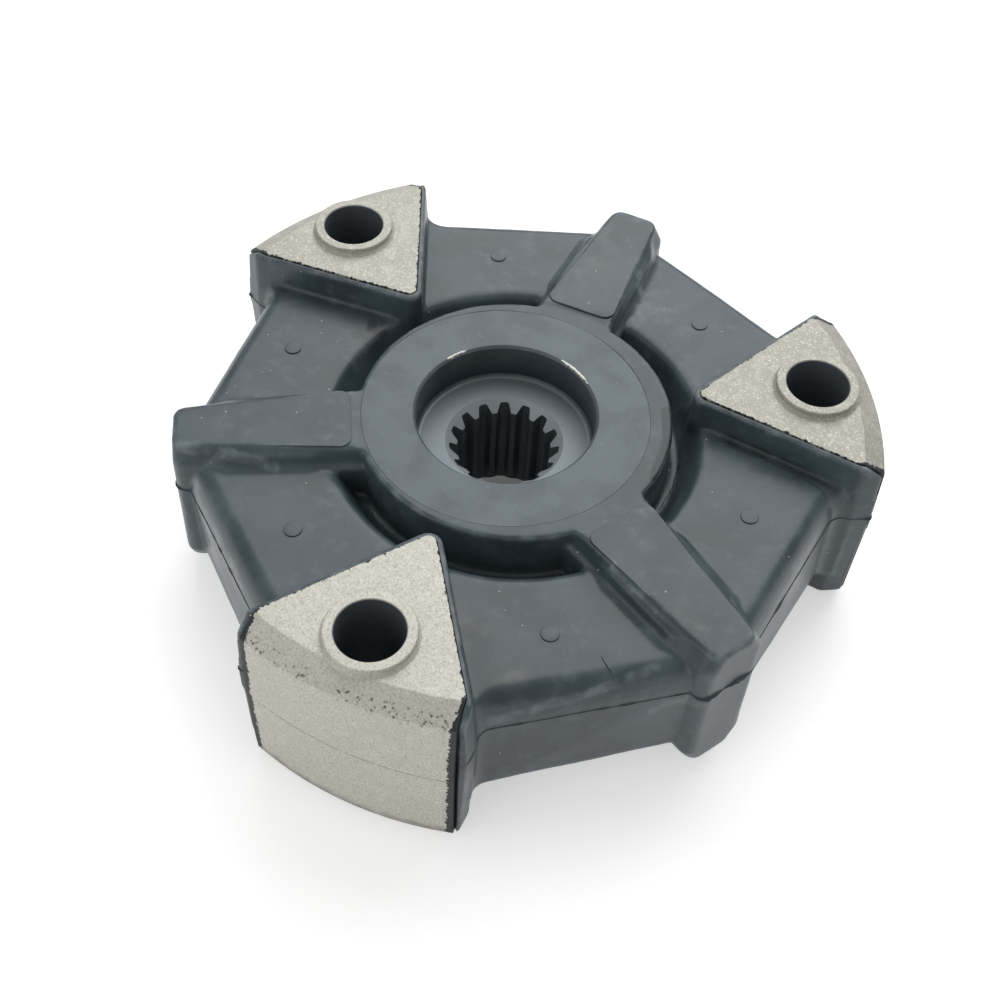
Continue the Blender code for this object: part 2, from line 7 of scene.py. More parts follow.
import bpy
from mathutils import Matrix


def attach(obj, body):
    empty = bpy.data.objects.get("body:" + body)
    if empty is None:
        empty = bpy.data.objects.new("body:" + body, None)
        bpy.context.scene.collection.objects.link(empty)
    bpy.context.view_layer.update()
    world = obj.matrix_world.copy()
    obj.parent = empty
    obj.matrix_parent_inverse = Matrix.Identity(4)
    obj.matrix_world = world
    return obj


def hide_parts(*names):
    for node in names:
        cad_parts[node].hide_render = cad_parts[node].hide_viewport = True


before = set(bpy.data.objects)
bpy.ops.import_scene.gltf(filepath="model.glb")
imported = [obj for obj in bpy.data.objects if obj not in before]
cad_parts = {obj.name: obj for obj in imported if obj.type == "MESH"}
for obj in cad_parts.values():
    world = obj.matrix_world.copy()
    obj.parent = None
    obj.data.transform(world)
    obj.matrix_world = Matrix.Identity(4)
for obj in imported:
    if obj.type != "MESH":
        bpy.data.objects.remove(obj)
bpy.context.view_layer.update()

import logging
import math
import random
from dataclasses import dataclass, field
from enum import Enum

import bmesh
import bpy
import numpy as np
from mathutils import Matrix, Vector, noise
from mathutils.kdtree import KDTree

LOG = logging.getLogger("coupling")
MM = 0.001
BODY = "root"
ARM_ANGLES = (330.0, 210.0, 90.0)

Piece = bpy.types.Object
Tree = bpy.types.NodeTree
Socket = bpy.types.NodeSocket
Points = list[Vector]
Inputs = dict[str | int, object]


class Join(Enum):
    """How one solid is combined with another."""

    ADD = "UNION"
    CUT = "DIFFERENCE"


class Slot(Enum):
    """The record's material slots."""

    HUB = "hub_steel"
    RUBBER = "rubber"
    INSERT = "cast_aluminium"


class Mark(Enum):
    """What a patch does to the rubber's colour."""

    SCUFF_AND_HIGHLIGHT = "scuff"
    GRIME_AND_SHADE = "grime"
    FILM = "film"


@dataclass(frozen=True)
class Patch:
    """A soft mark along a line on the rubber. Its width and points are in millimetres."""

    kind: Mark
    width: float
    strength: float
    line: tuple[tuple[float, float, float], ...]


PATCHES = (
    # Pale marks along the edges of the arms, webs and skirts: scuffs and painted highlights
    Patch(Mark.SCUFF_AND_HIGHLIGHT, 2.2, 0.9, ((8.6, 57.6, 18.9), (12.2, 52.9, 15.8), (13.4, 43.5, 15.8))),
    Patch(
        Mark.SCUFF_AND_HIGHLIGHT,
        1.6,
        0.9,
        ((26.6, -70.0, 9.8), (34.6, -63.5, 11.2), (44.2, -55.3, 13.0), (52.6, -46.9, 15.1)),
    ),
    Patch(Mark.SCUFF_AND_HIGHLIGHT, 0.9, 1.3, ((36.0, -31.0, 19.9), (47.0, -36.8, 20.0), (62.8, -44.6, 19.9))),
    Patch(Mark.SCUFF_AND_HIGHLIGHT, 1.6, 1.2, ((-62.3, -42.8, 19.8), (-51.7, -39.3, 19.0), (-42.0, -36.8, 17.3))),
    Patch(Mark.SCUFF_AND_HIGHLIGHT, 3.0, 1.0, ((53.3, -50.3, 2.0), (61.2, -44.8, 4.6))),
    Patch(Mark.SCUFF_AND_HIGHLIGHT, 2.4, 0.9, ((-57.9, -45.9, 12.4), (-48.3, -53.7, 10.7), (-36.2, -63.0, 10.0))),
    Patch(Mark.SCUFF_AND_HIGHLIGHT, 1.6, 0.8, ((77.5, 8.9, 9.2), (73.1, -1.1, 12.4), (69.0, -12.0, 12.0))),
    # Dark patches: grime, and painted shade in the corners, beside the ring and on the webs
    Patch(Mark.GRIME_AND_SHADE, 1.8, 0.8, ((-7.1, 39.6, 20.3), (1.0, 39.4, 20.3), (8.4, 38.7, 20.2))),
    Patch(Mark.GRIME_AND_SHADE, 2.0, 0.7, ((46.1, 18.0, 15.8), (57.0, 17.8, 15.8), (72.9, 15.5, 14.8))),
    Patch(Mark.GRIME_AND_SHADE, 3.0, 0.8, ((-73.9, 12.7, 12.0), (-56.0, 12.0, 15.8), (-42.5, 14.0, 15.8))),
    Patch(Mark.GRIME_AND_SHADE, 7.0, 0.45, ((43.0, 5.0, 15.8), (54.0, 6.0, 15.8), (62.0, 8.0, 15.8))),
    Patch(Mark.GRIME_AND_SHADE, 6.0, 0.5, ((-75.0, 6.0, 0.0), (-66.0, -2.0, 0.0), (-60.0, -12.0, 0.0))),
    Patch(Mark.GRIME_AND_SHADE, 1.1, 1.1, ((31.2, 16.5, 19.9), (34.6, 8.0, 19.9), (35.0, -4.0, 19.9))),
    Patch(Mark.GRIME_AND_SHADE, 4.0, 0.5, ((-15.0, -35.0, 12.0), (0.0, -37.5, 12.0), (12.0, -36.0, 12.0))),
    # A brownish film that dried on the flat places
    Patch(Mark.FILM, 5.0, 0.8, ((-1.0, 66.0, 20.3), (-2.0, 50.0, 20.3), (1.0, 42.0, 20.3))),
    Patch(Mark.FILM, 6.0, 0.7, ((14.0, -52.0, 15.8), (20.0, -56.0, 15.8), (26.0, -60.0, 15.8))),
    Patch(Mark.FILM, 4.0, 0.5, ((46.0, -30.0, 20.3), (62.0, -38.0, 20.3), (68.0, -40.0, 19.0))),
    Patch(Mark.FILM, 6.0, 0.5, ((-58.0, 26.0, 15.8), (-50.0, 14.0, 15.8), (-45.0, 6.0, 15.8))),
)

# Fine folds and cracks, in millimetres: beside a skirt, in a groove and across a web
CRACKS = (
    ((46.1, 16.0, 15.8), (57.0, 15.8, 15.8), (68.9, 13.5, 15.8), (73.0, 11.6, 15.4)),
    ((37.2, 13.3, 7.4), (37.6, 9.9, 7.4), (38.1, 5.5, 7.4), (37.8, -2.2, 7.4)),
    ((41.5, -49.4, 15.8), (44.0, -51.4, 15.7), (45.2, -52.2, 15.3)),
)


# Shared geometry


def vectors(*corners: tuple[float, ...]) -> Points:
    """Turn coordinates into points."""
    return [Vector(corner) for corner in corners]


def on_circle(radius: float, degrees: float) -> Vector:
    """Return the flat point at a radius and angle."""
    turn = math.radians(degrees)
    return Vector((radius * math.cos(turn), radius * math.sin(turn)))


def mirrored(points: Points) -> Points:
    """Return flat points mirrored in the first axis, the last one first."""
    return [Vector((point.x, -point.y)) for point in reversed(points)]


def soften(points: Points, radii: tuple[float, ...], steps: int = 4) -> Points:
    """Round the inner corners of a flat polyline.

    Args:
        points: The polyline's corners, its two ends included.
        radii: The radius of each inner corner, in order.
        steps: How many pieces each arc is drawn in.

    Returns:
        The polyline with an arc in place of each inner corner.
    """
    result = [points[0]]
    for before, corner, after, radius in zip(points, points[1:], points[2:], radii):
        back = (before - corner).normalized()
        ahead = (after - corner).normalized()
        half = back.angle(ahead) / 2
        run = radius / math.tan(half)
        centre = corner + (back + ahead).normalized() * (radius / math.sin(half))
        first = corner + back * run - centre
        last = corner + ahead * run - centre
        result += [centre + first.slerp(last, i / steps) * radius for i in range(steps + 1)]
    result.append(points[-1])
    return result


def grown(outline: Points, distance: float) -> Points:
    """Move each side of a counter-clockwise outline.

    Args:
        outline: The flat outline's points.
        distance: How far each side moves out.

    Returns:
        The moved outline, with as many points.
    """
    result = []
    for i, point in enumerate(outline):
        before = (point - outline[i - 1]).normalized()
        after = (outline[(i + 1) % len(outline)] - point).normalized()
        out_before = Vector((before.y, -before.x))
        out_after = Vector((after.y, -after.x))
        result.append(point + (out_before + out_after) * distance / (1 + out_before.dot(out_after)))
    return result


def at_height(outline: Points, height: float) -> Points:
    """Lift a flat outline to a height."""
    return [Vector((point.x, point.y, height)) for point in outline]


def circle(radius: float, height: float, segments: int) -> Points:
    """Return a ring of points round the Z axis."""
    return at_height([on_circle(radius, 360.0 * i / segments) for i in range(segments)], height)


def placed(name: str, data: bpy.types.ID) -> Piece:
    """Put a mesh, a lamp or a camera into the scene.

    Args:
        name: The new object's name.
        data: What the object shows.

    Returns:
        The new object.
    """
    made = bpy.data.objects.new(name, data)
    bpy.context.scene.collection.objects.link(made)
    return made


def discard(items: list[Piece]) -> None:
    """Remove objects that are no longer needed."""
    for item in items:
        bpy.data.objects.remove(item, do_unlink=True)


def loft(name: str, rings: list[Points], turn: float = 0.0, closed: bool = False) -> Piece:
    """Skin rings of equal length.

    Args:
        name: The new object's name.
        rings: The rings, from one end to the other.
        turn: The angle in degrees by which the solid is turned round Z.
        closed: Whether the last ring joins the first one, instead of a cap on each.

    Returns:
        The new object.
    """
    builder = bmesh.new()
    spin = Matrix.Rotation(math.radians(turn), 3, "Z")
    rows = [[builder.verts.new(spin @ point) for point in ring] for ring in rings]
    for low, high in zip(rows, rows[1:] + rows[:1] if closed else rows[1:]):
        for i in range(len(low)):
            builder.faces.new((low[i - 1], low[i], high[i], high[i - 1]))
    if not closed:
        builder.faces.new(rows[0])
        builder.faces.new(rows[-1])
    bmesh.ops.recalc_face_normals(builder, faces=builder.faces)
    mesh = bpy.data.meshes.new(name)
    builder.to_mesh(mesh)
    builder.free()
    return placed(name, mesh)


def turned(name: str, profile: Points, segments: int, centre: Vector = Vector((0, 0))) -> Piece:
    """Turn a profile round an upright axis.

    Args:
        name: The new object's name.
        profile: Points of radius and height, from one cap to the other.
        segments: How many sides the turned solid has.
        centre: Where the axis stands.

    Returns:
        The turned solid.
    """
    made = loft(name, [circle(point.x, point.y, segments) for point in profile])
    made.data.transform(Matrix.Translation((centre.x, centre.y, 0.0)))
    return made


def distance_to_line(points: np.ndarray, line: np.ndarray) -> np.ndarray:
    """Measure how far points lie from a line.

    Args:
        points: The points, a row each.
        line: The corners of the line, a row each.

    Returns:
        The distance of each point from the line's nearest stretch.
    """
    best = np.full(len(points), np.inf)
    for start, end in zip(line, line[1:]):
        run = end - start
        share = np.clip(((points - start) @ run) / (run @ run), 0.0, 1.0)
        best = np.minimum(best, np.linalg.norm(points - start - share[:, None] * run, axis=1))
    return best


def settle(body: Piece) -> None:
    """Apply an object's modifiers to its mesh.

    Args:
        body: The mesh object.
    """
    bpy.context.view_layer.update()
    evaluated = body.evaluated_get(bpy.context.evaluated_depsgraph_get())
    mesh = bpy.data.meshes.new_from_object(evaluated)
    body.modifiers.clear()
    body.data = mesh


def combine(body: Piece, how: Join, tools: list[Piece]) -> None:
    """Add tool solids to a body or cut them from it, and remove the tools.

    Args:
        body: The solid that changes.
        how: Whether the tools are added or cut away.
        tools: Closed solids.
    """
    for tool in tools:
        step = body.modifiers.new(tool.name, "BOOLEAN")
        step.operation = how.value
        step.solver = "MANIFOLD"
        step.object = tool
    settle(body)
    discard(tools)


def shade(body: Piece, crease: float) -> None:
    """Shade a mesh smooth up to its creases, with flat faces kept flat.

    Args:
        body: The mesh object.
        crease: The angle in degrees from which an edge stays sharp.
    """
    body.data.shade_smooth()
    body.data.set_sharp_from_angle(angle=math.radians(crease))
    weights = body.modifiers.new("weights", "WEIGHTED_NORMAL")
    weights.keep_sharp = True
    settle(body)


def dress(body: Piece, material: bpy.types.Material, node: str) -> None:
    """Give a finished piece its material and its place in the frame.

    Args:
        body: The piece.
        material: Its finish.
        node: The CAD node that the piece stands for.
    """
    body.data.materials.clear()
    body.data.materials.append(material)
    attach(body, BODY)
    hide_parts(node)
    LOG.info("%s: %d faces", body.name, len(body.data.polygons))


# Finishes


def linear(code: str) -> tuple[float, float, float, float]:
    """Turn an sRGB hex code into a linear colour with full alpha.

    Args:
        code: The colour, as # and six digits.

    Returns:
        The red, green and blue channels and the alpha.
    """
    channels = [int(code[i : i + 2], 16) / 255 for i in (1, 3, 5)]
    bent = [c / 12.92 if c <= 0.04045 else ((c + 0.055) / 1.055) ** 2.4 for c in channels]
    return (bent[0], bent[1], bent[2], 1.0)


def per_metre(size: float) -> float:
    """Return a texture's scale from the size of its features."""
    return 1.0 / size


def plug(tree: Tree, node: bpy.types.Node, inputs: Inputs) -> None:
    """Set or link a node's inputs.

    Args:
        tree: The tree that holds the node.
        node: The node.
        inputs: A value or an output socket for each input, by name or number.
    """
    for key, value in inputs.items():
        if isinstance(value, Socket):
            tree.links.new(value, node.inputs[key])
        else:
            node.inputs[key].default_value = value


def add_node(
    tree: Tree, kind: str, inputs: Inputs | None = None, out: str | int = 0, **settings: object
) -> Socket | None:
    """Add a node with its settings and links.

    Args:
        tree: The tree that the node goes into.
        kind: The node's type, without the prefix that all shader nodes share.
        inputs: A value or an output socket for each input, by name or number.
        out: The output that is wanted, by name or number.
        **settings: The node's own properties.

    Returns:
        That output, or None from a node that has no outputs.
    """
    made = tree.nodes.new(f"ShaderNode{kind}")
    for name, value in settings.items():
        setattr(made, name, value)
    plug(tree, made, inputs or {})
    return made.outputs[out] if made.outputs else None


def new_material(name: str) -> tuple[bpy.types.Material, Tree, bpy.types.Node]:
    """Return a new material, its tree and its Principled shader.

    Args:
        name: The material's name.

    Returns:
        The material, its tree and its shader node.
    """
    material = bpy.data.materials.new(name)
    material.use_nodes = True
    tree = material.node_tree
    return material, tree, tree.nodes["Principled BSDF"]


@dataclass(frozen=True)
class Fade:
    """A smooth step of a pattern, from 0 at low to 1 at high."""

    pattern: Socket
    low: float
    high: float


def mask(tree: Tree, *fades: Fade, top: object = 1.0) -> Socket:
    """Multiply fades into one mask.

    Args:
        tree: The tree that the nodes go into.
        *fades: What the mask depends on.
        top: Its highest value, as a number or as another mask.

    Returns:
        The output that carries the mask.
    """
    for fade in fades:
        limits = {0: fade.pattern, 1: fade.low, 2: fade.high, 3: 0.0, 4: top}
        top = add_node(tree, "MapRange", limits, interpolation_type="SMOOTHSTEP")
    return top


@dataclass(frozen=True)
class Layer:
    """One colour laid over those below it, through a mask."""

    mask: Socket
    shade: str


def layered(tree: Tree, base: str, layers: list[Layer]) -> Socket:
    """Lay colours over a base colour.

    Args:
        tree: The tree that the nodes go into.
        base: The lowest colour, as hex.
        layers: The colours above it, lowest first.

    Returns:
        The output that carries the colour.
    """
    colour: object = linear(base)
    for layer in layers:
        parts = {0: layer.mask, 6: colour, 7: linear(layer.shade)}
        colour = add_node(tree, "Mix", parts, out=2, data_type="RGBA")
    return colour


@dataclass(frozen=True)
class BlastedCastAluminium:
    """Cast aluminium, shot blasted: a matt light grey with a fine pitted grain.

    The dents scatter the light almost as paint does, so it hardly looks like metal, and
    rubber that tore off at the mould's edge breaks up the outline of each flank.
    """

    name: str
    seed: float
    turn: float
    flank_apex: float
    flank_angle: float
    side: float
    hole: float
    parting: float
    scraped: float = 0.0
    clean: str = "#bdbbb4"
    pale: str = "#dddbd4"
    dull: str = "#9b9990"
    # Soot along the mould's joint; the same colour paints shade along the wall's foot
    soot_and_shade: str = "#6f6d66"
    smear: str = "#24282b"
    # Painted shade on the bolt hole's wall
    bore_shade: str = "#50585e"
    pit: str = "#55554f"
    hole_radius: float = 7.25 * MM
    # Shot leaves dents about 0.2 mm wide, too fine to show, so they are drawn twice as wide
    grain: float = 0.42 * MM
    grain_depth: float = 0.12 * MM
    mottle: float = 3.0 * MM
    ragged: float = 0.9 * MM
    ragged_reach: float = 0.75 * MM
    ragged_swing: float = 3.2
    joint_halves: tuple[float, float] = (0.45 * MM, 0.15 * MM)
    # Painted shade darkens the wall between these heights, down to its foot
    foot_heights: tuple[float, float] = (-16.5 * MM, -20.5 * MM)
    foot_wave: float = 5.0 * MM
    pit_gap: float = 0.8 * MM
    pit_heights: tuple[float, float] = (19.2 * MM, 20.4 * MM)
    # Rows of pits along the bevel: middle and half length across, inner and outer reach
    scrapes: tuple[tuple[float, float, float, float], ...] = (
        (-15.5 * MM, 9.0 * MM, 81.8 * MM, 83.9 * MM),
        (10.5 * MM, 12.5 * MM, 81.6 * MM, 84.3 * MM),
    )
    scrape_blur: float = 0.5 * MM
    scrape_end: float = 2.0 * MM
    # Bare aluminium is all metal, but its blasted skin and oxide look half of it
    metallic: float = 0.55
    roughness: float = 0.62

    def build(self) -> bpy.types.Material:
        """Make the material.

        Returns:
            Blasted aluminium, its patterns turned with the insert.
        """
        material, tree, shader = new_material(self.name)
        place = add_node(
            tree,
            "VectorRotate",
            {"Vector": add_node(tree, "TexCoord", out="Object"), "Angle": -math.radians(self.turn)},
            rotation_type="Z_AXIS",
        )
        grain, mottle, ragged = [
            add_node(
                tree,
                "TexNoise",
                {"Vector": place, "W": self.seed, "Scale": per_metre(size), "Detail": detail},
                noise_dimensions="4D",
            )
            for size, detail in ((self.grain, 2.0), (self.mottle, 3.0), (self.ragged, 3.0))
        ]
        wander = add_node(tree, "Math", {0: ragged, 1: 0.5}, operation="SUBTRACT")
        reach = self.ragged_reach
        torn = add_node(
            tree,
            "Math",
            {0: wander, 1: self.ragged_swing * reach, 2: self.edge_distance(tree, place)},
            operation="MULTIPLY_ADD",
        )
        rubber = mask(tree, Fade(torn, 0.42 * reach, 0.22 * reach))
        # The bolt hole's wall takes painted shade
        bore = self.bore_shade_mask(tree, place)
        layers = [
            Layer(mask(tree, Fade(mottle, 0.45, 0.70), top=0.25), self.pale),
            Layer(mask(tree, Fade(grain, 0.50, 0.30), top=0.6), self.dull),
            Layer(mask(tree, Fade(grain, 0.56, 0.70), top=0.9), self.pale),
            Layer(self.joint_mask(tree, place, ragged), self.soot_and_shade),
            # Painted shade along the wall's foot
            Layer(self.foot_shade_mask(tree, place, mottle), self.soot_and_shade),
            Layer(self.scrape_mask(tree, place, ragged), self.pit),
            Layer(rubber, self.smear),
            Layer(bore, self.bore_shade),
        ]
        dents = {"Strength": 0.55, "Distance": self.grain_depth, "Height": grain}
        covered = add_node(tree, "Math", {0: rubber, 1: bore}, operation="MAXIMUM")
        metal = add_node(tree, "Math", {0: self.metallic, 1: covered}, operation="SUBTRACT", use_clamp=True)
        looks = {
            "Base Color": layered(tree, self.clean, layers),
            "Normal": add_node(tree, "Bump", dents),
            "Metallic": metal,
            "Roughness": self.roughness,
        }
        plug(tree, shader, looks)
        return material

    def joint_mask(self, tree: Tree, place: Socket, ragged: Socket) -> Socket:
        """Return a mask of the thin broken line that the halves of the casting mould leave.

        Args:
            tree: The material's tree.
            place: The point, with the insert's axis along X.
            ragged: Noise that breaks the line up.

        Returns:
            The mask.
        """
        height = add_node(tree, "SeparateXYZ", {0: place}, out="Z")
        level = add_node(tree, "Math", {0: height, 1: self.parting}, operation="SUBTRACT")
        away = add_node(tree, "Math", {0: level}, operation="ABSOLUTE")
        return mask(tree, Fade(away, *self.joint_halves), Fade(ragged, 0.36, 0.46), top=0.7)

    def foot_shade_mask(self, tree: Tree, place: Socket, mottle: Socket) -> Socket:
        """Return a mask of the band of painted shade, darker towards the wall's foot.

        Args:
            tree: The material's tree.
            place: The point, with the insert's axis along X.
            mottle: Noise that makes the band wavy.

        Returns:
            The mask.
        """
        height = add_node(tree, "SeparateXYZ", {0: place}, out="Z")
        wave = {0: mottle, 1: self.foot_wave, 2: height}
        wavy = add_node(tree, "Math", wave, operation="MULTIPLY_ADD")
        return mask(tree, Fade(wavy, *self.foot_heights), top=0.6)

    def scrape_mask(self, tree: Tree, place: Socket, ragged: Socket) -> Socket:
        """Mark the rows of dark pits and smears along the bevel's edge.

        Args:
            tree: The material's tree.
            place: The point, with the insert's axis along X.
            ragged: Noise that breaks the rows up.

        Returns:
            The mask, nought all over where the insert isn't scraped.
        """
        height = add_node(tree, "SeparateXYZ", {0: place}, out="Z")
        flat = add_node(tree, "VectorMath", {0: place, 1: (1, 1, 0)}, operation="MULTIPLY")
        reach = add_node(tree, "VectorMath", {0: flat}, out="Value", operation="LENGTH")
        dots = {"Vector": flat, "Scale": per_metre(self.pit_gap), "Randomness": 0.85}
        cells = add_node(tree, "TexVoronoi", dots, out="Distance")
        y = add_node(tree, "SeparateXYZ", {0: place}, out="Y")
        rows: object = 0.0
        for middle, half, inner, outer in self.scrapes:
            offset = add_node(tree, "Math", {0: y, 1: middle}, operation="SUBTRACT")
            across = add_node(tree, "Math", {0: offset}, operation="ABSOLUTE")
            row = mask(
                tree,
                Fade(reach, inner - self.scrape_blur, inner + self.scrape_blur),
                Fade(reach, outer + self.scrape_blur, outer - self.scrape_blur),
                Fade(across, half, half - self.scrape_end),
                top=self.scraped,
            )
            rows = add_node(tree, "Math", {0: rows, 1: row}, operation="MAXIMUM")
        pits = Fade(cells, 0.42, 0.30)
        return mask(tree, pits, Fade(ragged, 0.40, 0.52), Fade(height, *self.pit_heights), top=rows)

    def bore_shade_mask(self, tree: Tree, place: Socket) -> Socket:
        """Return a mask of the bolt hole's wall, where shade is painted.

        Args:
            tree: The material's tree.
            place: The point, with the insert's axis along X.

        Returns:
            The mask.
        """
        flat = add_node(tree, "VectorMath", {0: place, 1: (1, 1, 0)}, operation="MULTIPLY")
        ends = {0: flat, 1: (self.hole, 0, 0)}
        away = add_node(tree, "VectorMath", ends, out="Value", operation="DISTANCE")
        return mask(tree, Fade(away, self.hole_radius + 0.22 * MM, self.hole_radius + 0.05 * MM))

    def edge_distance(self, tree: Tree, place: Socket) -> Socket:
        """Measure how far a point lies inside the wedge's nearest flank or side.

        Args:
            tree: The material's tree.
            place: The point, with the insert's axis along X.

        Returns:
            The output that carries the distance in metres.
        """
        x, y = [add_node(tree, "SeparateXYZ", {0: place}, out=axis) for axis in "XY"]
        across = add_node(tree, "Math", {0: y}, operation="ABSOLUTE")
        sine, cosine = on_circle(1.0, self.flank_angle).yx
        along = {0: x, 1: sine, 2: -self.flank_apex * sine}
        slope = add_node(tree, "Math", along, operation="MULTIPLY_ADD")
        flank = add_node(tree, "Math", {0: across, 1: -cosine, 2: slope}, operation="MULTIPLY_ADD")
        side = add_node(tree, "Math", {0: self.side, 1: across}, operation="SUBTRACT")
        return add_node(tree, "Math", {0: flank, 1: side}, operation="MINIMUM")


@dataclass(frozen=True)
class TurnedDarkSteel:
    """Steel turned and phosphated: a satin dark grey skin, rubbed bright at its edges.

    The phosphate's crystals dull the metal's reflections, so only rubbed edges gleam.
    """

    name: str = "turned_phosphated_steel"
    skin: str = "#5d666a"
    shade: str = "#535c61"
    pale: str = "#757d81"
    bare: str = "#e2e0d8"
    # Painted light: paler tones on the faces turned up at the bore's mouth and the counterbore's floor
    lit_mouth: str = "#99a1a5"
    floor: str = "#7d868c"
    mouth_radius: float = 13.9 * MM
    floor_radius: float = 20.3 * MM
    lit_top_blur: float = 0.1 * MM
    # Painted shade on the counterbore's wall
    bore: str = "#26303c"
    patch: float = 9.0 * MM
    fleck: float = 0.7 * MM
    # Phosphate crystals are hundredths of a millimetre wide, so they are drawn coarser to show
    grain: float = 0.45 * MM
    grain_depth: float = 0.06 * MM
    # The phosphate covers the metal, so that about a third of it shows through
    metallic: float = 0.35
    roughness: float = 0.5

    def build(self) -> bpy.types.Material:
        """Make the material.

        Returns:
            Dark steel with faint cloudy patches, small pale flecks, worn bright edges, painted light
            on the faces turned up and painted shade on the counterbore's wall.
        """
        material, tree, shader = new_material(self.name)
        place = add_node(tree, "TexCoord", out="Object")
        patch, fleck, grain = [
            add_node(tree, "TexNoise", {"Vector": place, "Scale": per_metre(size), "Detail": detail})
            for size, detail in ((self.patch, 4.0), (self.fleck, 2.0), (self.grain, 2.0))
        ]
        worn, wall_shade = [
            add_node(tree, "Attribute", out="Fac", attribute_name=name) for name in ("worn", "wall_shade")
        ]
        rubbed = add_node(tree, "Math", {0: worn, 1: fleck}, operation="MULTIPLY")
        layers = [
            Layer(mask(tree, Fade(patch, 0.40, 0.65)), self.shade),
            Layer(mask(tree, Fade(fleck, 0.66, 0.74), top=0.5), self.pale),
            Layer(mask(tree, Fade(grain, 0.62, 0.80), top=0.35), self.pale),
            # Painted shade on the counterbore's wall
            Layer(wall_shade, self.bore),
            # Painted light on the faces turned up
            Layer(self.lit_top_mask(tree, place, self.floor_radius), self.floor),
            Layer(self.lit_top_mask(tree, place, self.mouth_radius), self.lit_mouth),
            Layer(mask(tree, Fade(rubbed, 0.26, 0.36)), self.bare),
        ]
        dents = {"Strength": 0.4, "Distance": self.grain_depth, "Height": grain}
        looks = {
            "Base Color": layered(tree, self.skin, layers),
            "Normal": add_node(tree, "Bump", dents),
            "Metallic": self.metallic,
            "Roughness": self.roughness,
        }
        plug(tree, shader, looks)
        return material

    def lit_top_mask(self, tree: Tree, place: Socket, radius: float) -> Socket:
        """Return a mask of what faces up within a radius, painted paler as light from above.

        Args:
            tree: The material's tree.
            place: The point, with the hub's axis as origin.
            radius: How far out the tone reaches.

        Returns:
            The mask.
        """
        flat = add_node(tree, "VectorMath", {0: place, 1: (1, 1, 0)}, operation="MULTIPLY")
        away = add_node(tree, "VectorMath", {0: flat}, out="Value", operation="LENGTH")
        facing = add_node(tree, "NewGeometry", out="True Normal")
        slope = add_node(tree, "SeparateXYZ", {0: facing}, out="Z")
        near = Fade(away, radius + self.lit_top_blur, radius - self.lit_top_blur)
        return mask(tree, near, Fade(slope, 0.5, 0.6))


@dataclass(frozen=True)
class MouldedRubber:
    """Carbon-black rubber, pressed hot in a steel mould: satin, with pale scuffs and dust.

    The mould's release agent dries in soft clouds, scraped edges turn chalky and carry a painted
    highlight, and the corners carry painted shade.
    """

    name: str = "moulded_black_rubber"
    body: str = "#38444a"
    cloud: str = "#49565c"
    # Pale for scuffs and worn edges, and for the painted highlights on the roundings
    scuff: str = "#8b969a"
    # Dark for grime, and for the painted shade in hollows and corners
    shade_and_grime: str = "#1d262d"
    speck: str = "#c9ccca"
    film: str = "#716d64"
    haze: str = "#5c676d"
    cloud_size: float = 14.0 * MM
    smudge_size: float = 3.5 * MM
    # The mould's skin has a grain of about 0.1 mm, too fine to show, so it is drawn coarser
    grain: float = 0.5 * MM
    grain_depth: float = 0.05 * MM
    speck_gap: float = 5.0 * MM
    # Moulded rubber's roughness is about a third, and its refractive index about 1.52
    roughness: tuple[float, float] = (0.27, 0.40)
    ior: float = 1.52
    # Its dusty skin mirrors less than clean rubber does
    mirror: float = 0.43

    def build(self) -> bpy.types.Material:
        """Make the material.

        Returns:
            Dark satin rubber that reads the wear and dirt from its mesh.
        """
        material, tree, shader = new_material(self.name)
        place = add_node(tree, "TexCoord", out="Object")
        cloud, smudge, grain = [
            add_node(tree, "TexNoise", {"Vector": place, "Scale": per_metre(size), "Detail": detail})
            for size, detail in ((self.cloud_size, 4.0), (self.smudge_size, 5.0), (self.grain, 2.0))
        ]
        marks = {
            name: add_node(tree, "Attribute", out="Fac", attribute_name=name)
            for name in ("edge", "hollow_shade", "scuff", "grime", "film")
        }
        patchy = {
            name: add_node(tree, "Math", {0: mark, 1: smudge}, operation="MULTIPLY")
            for name, mark in marks.items()
            if name != "hollow_shade"
        }
        dots = {"Vector": place, "Scale": per_metre(self.speck_gap), "Randomness": 1.0}
        cells = add_node(tree, "TexVoronoi", dots, out="Distance")
        layers = [
            Layer(mask(tree, Fade(cloud, 0.35, 0.65)), self.cloud),
            Layer(mask(tree, Fade(smudge, 0.52, 0.74), top=0.4), self.haze),
            # Painted shade in the skin's hollows and corners
            Layer(mask(tree, Fade(marks["hollow_shade"], 0.15, 0.9), top=0.6), self.shade_and_grime),
            # Worn edges, with a painted highlight on the roundings
            Layer(mask(tree, Fade(patchy["edge"], 0.22, 0.60), top=0.45), self.scuff),
            Layer(mask(tree, Fade(patchy["film"], 0.15, 0.55), top=0.45), self.film),
            # Scuffs, and painted highlights, from the patches
            Layer(mask(tree, Fade(patchy["scuff"], 0.20, 0.85), top=0.6), self.scuff),
            # Grime, and painted shade, from the dark patches
            Layer(mask(tree, Fade(patchy["grime"], 0.15, 0.45), top=0.9), self.shade_and_grime),
            Layer(mask(tree, Fade(cells, 0.045, 0.03), top=0.7), self.speck),
        ]
        uneven = add_node(tree, "Math", {0: smudge, 1: 0.25, 2: grain}, operation="MULTIPLY_ADD")
        dents = {"Strength": 0.3, "Distance": self.grain_depth, "Height": uneven}
        smooth, rough = self.roughness
        looks = {
            "Base Color": layered(tree, self.body, layers),
            "Normal": add_node(tree, "Bump", dents),
            "Roughness": add_node(tree, "MapRange", {0: cloud, 1: 0.3, 2: 0.7, 3: smooth, 4: rough}),
            "IOR": self.ior,
            "Specular IOR Level": self.mirror,
        }
        plug(tree, shader, looks)
        return material


# Sub-assemblies


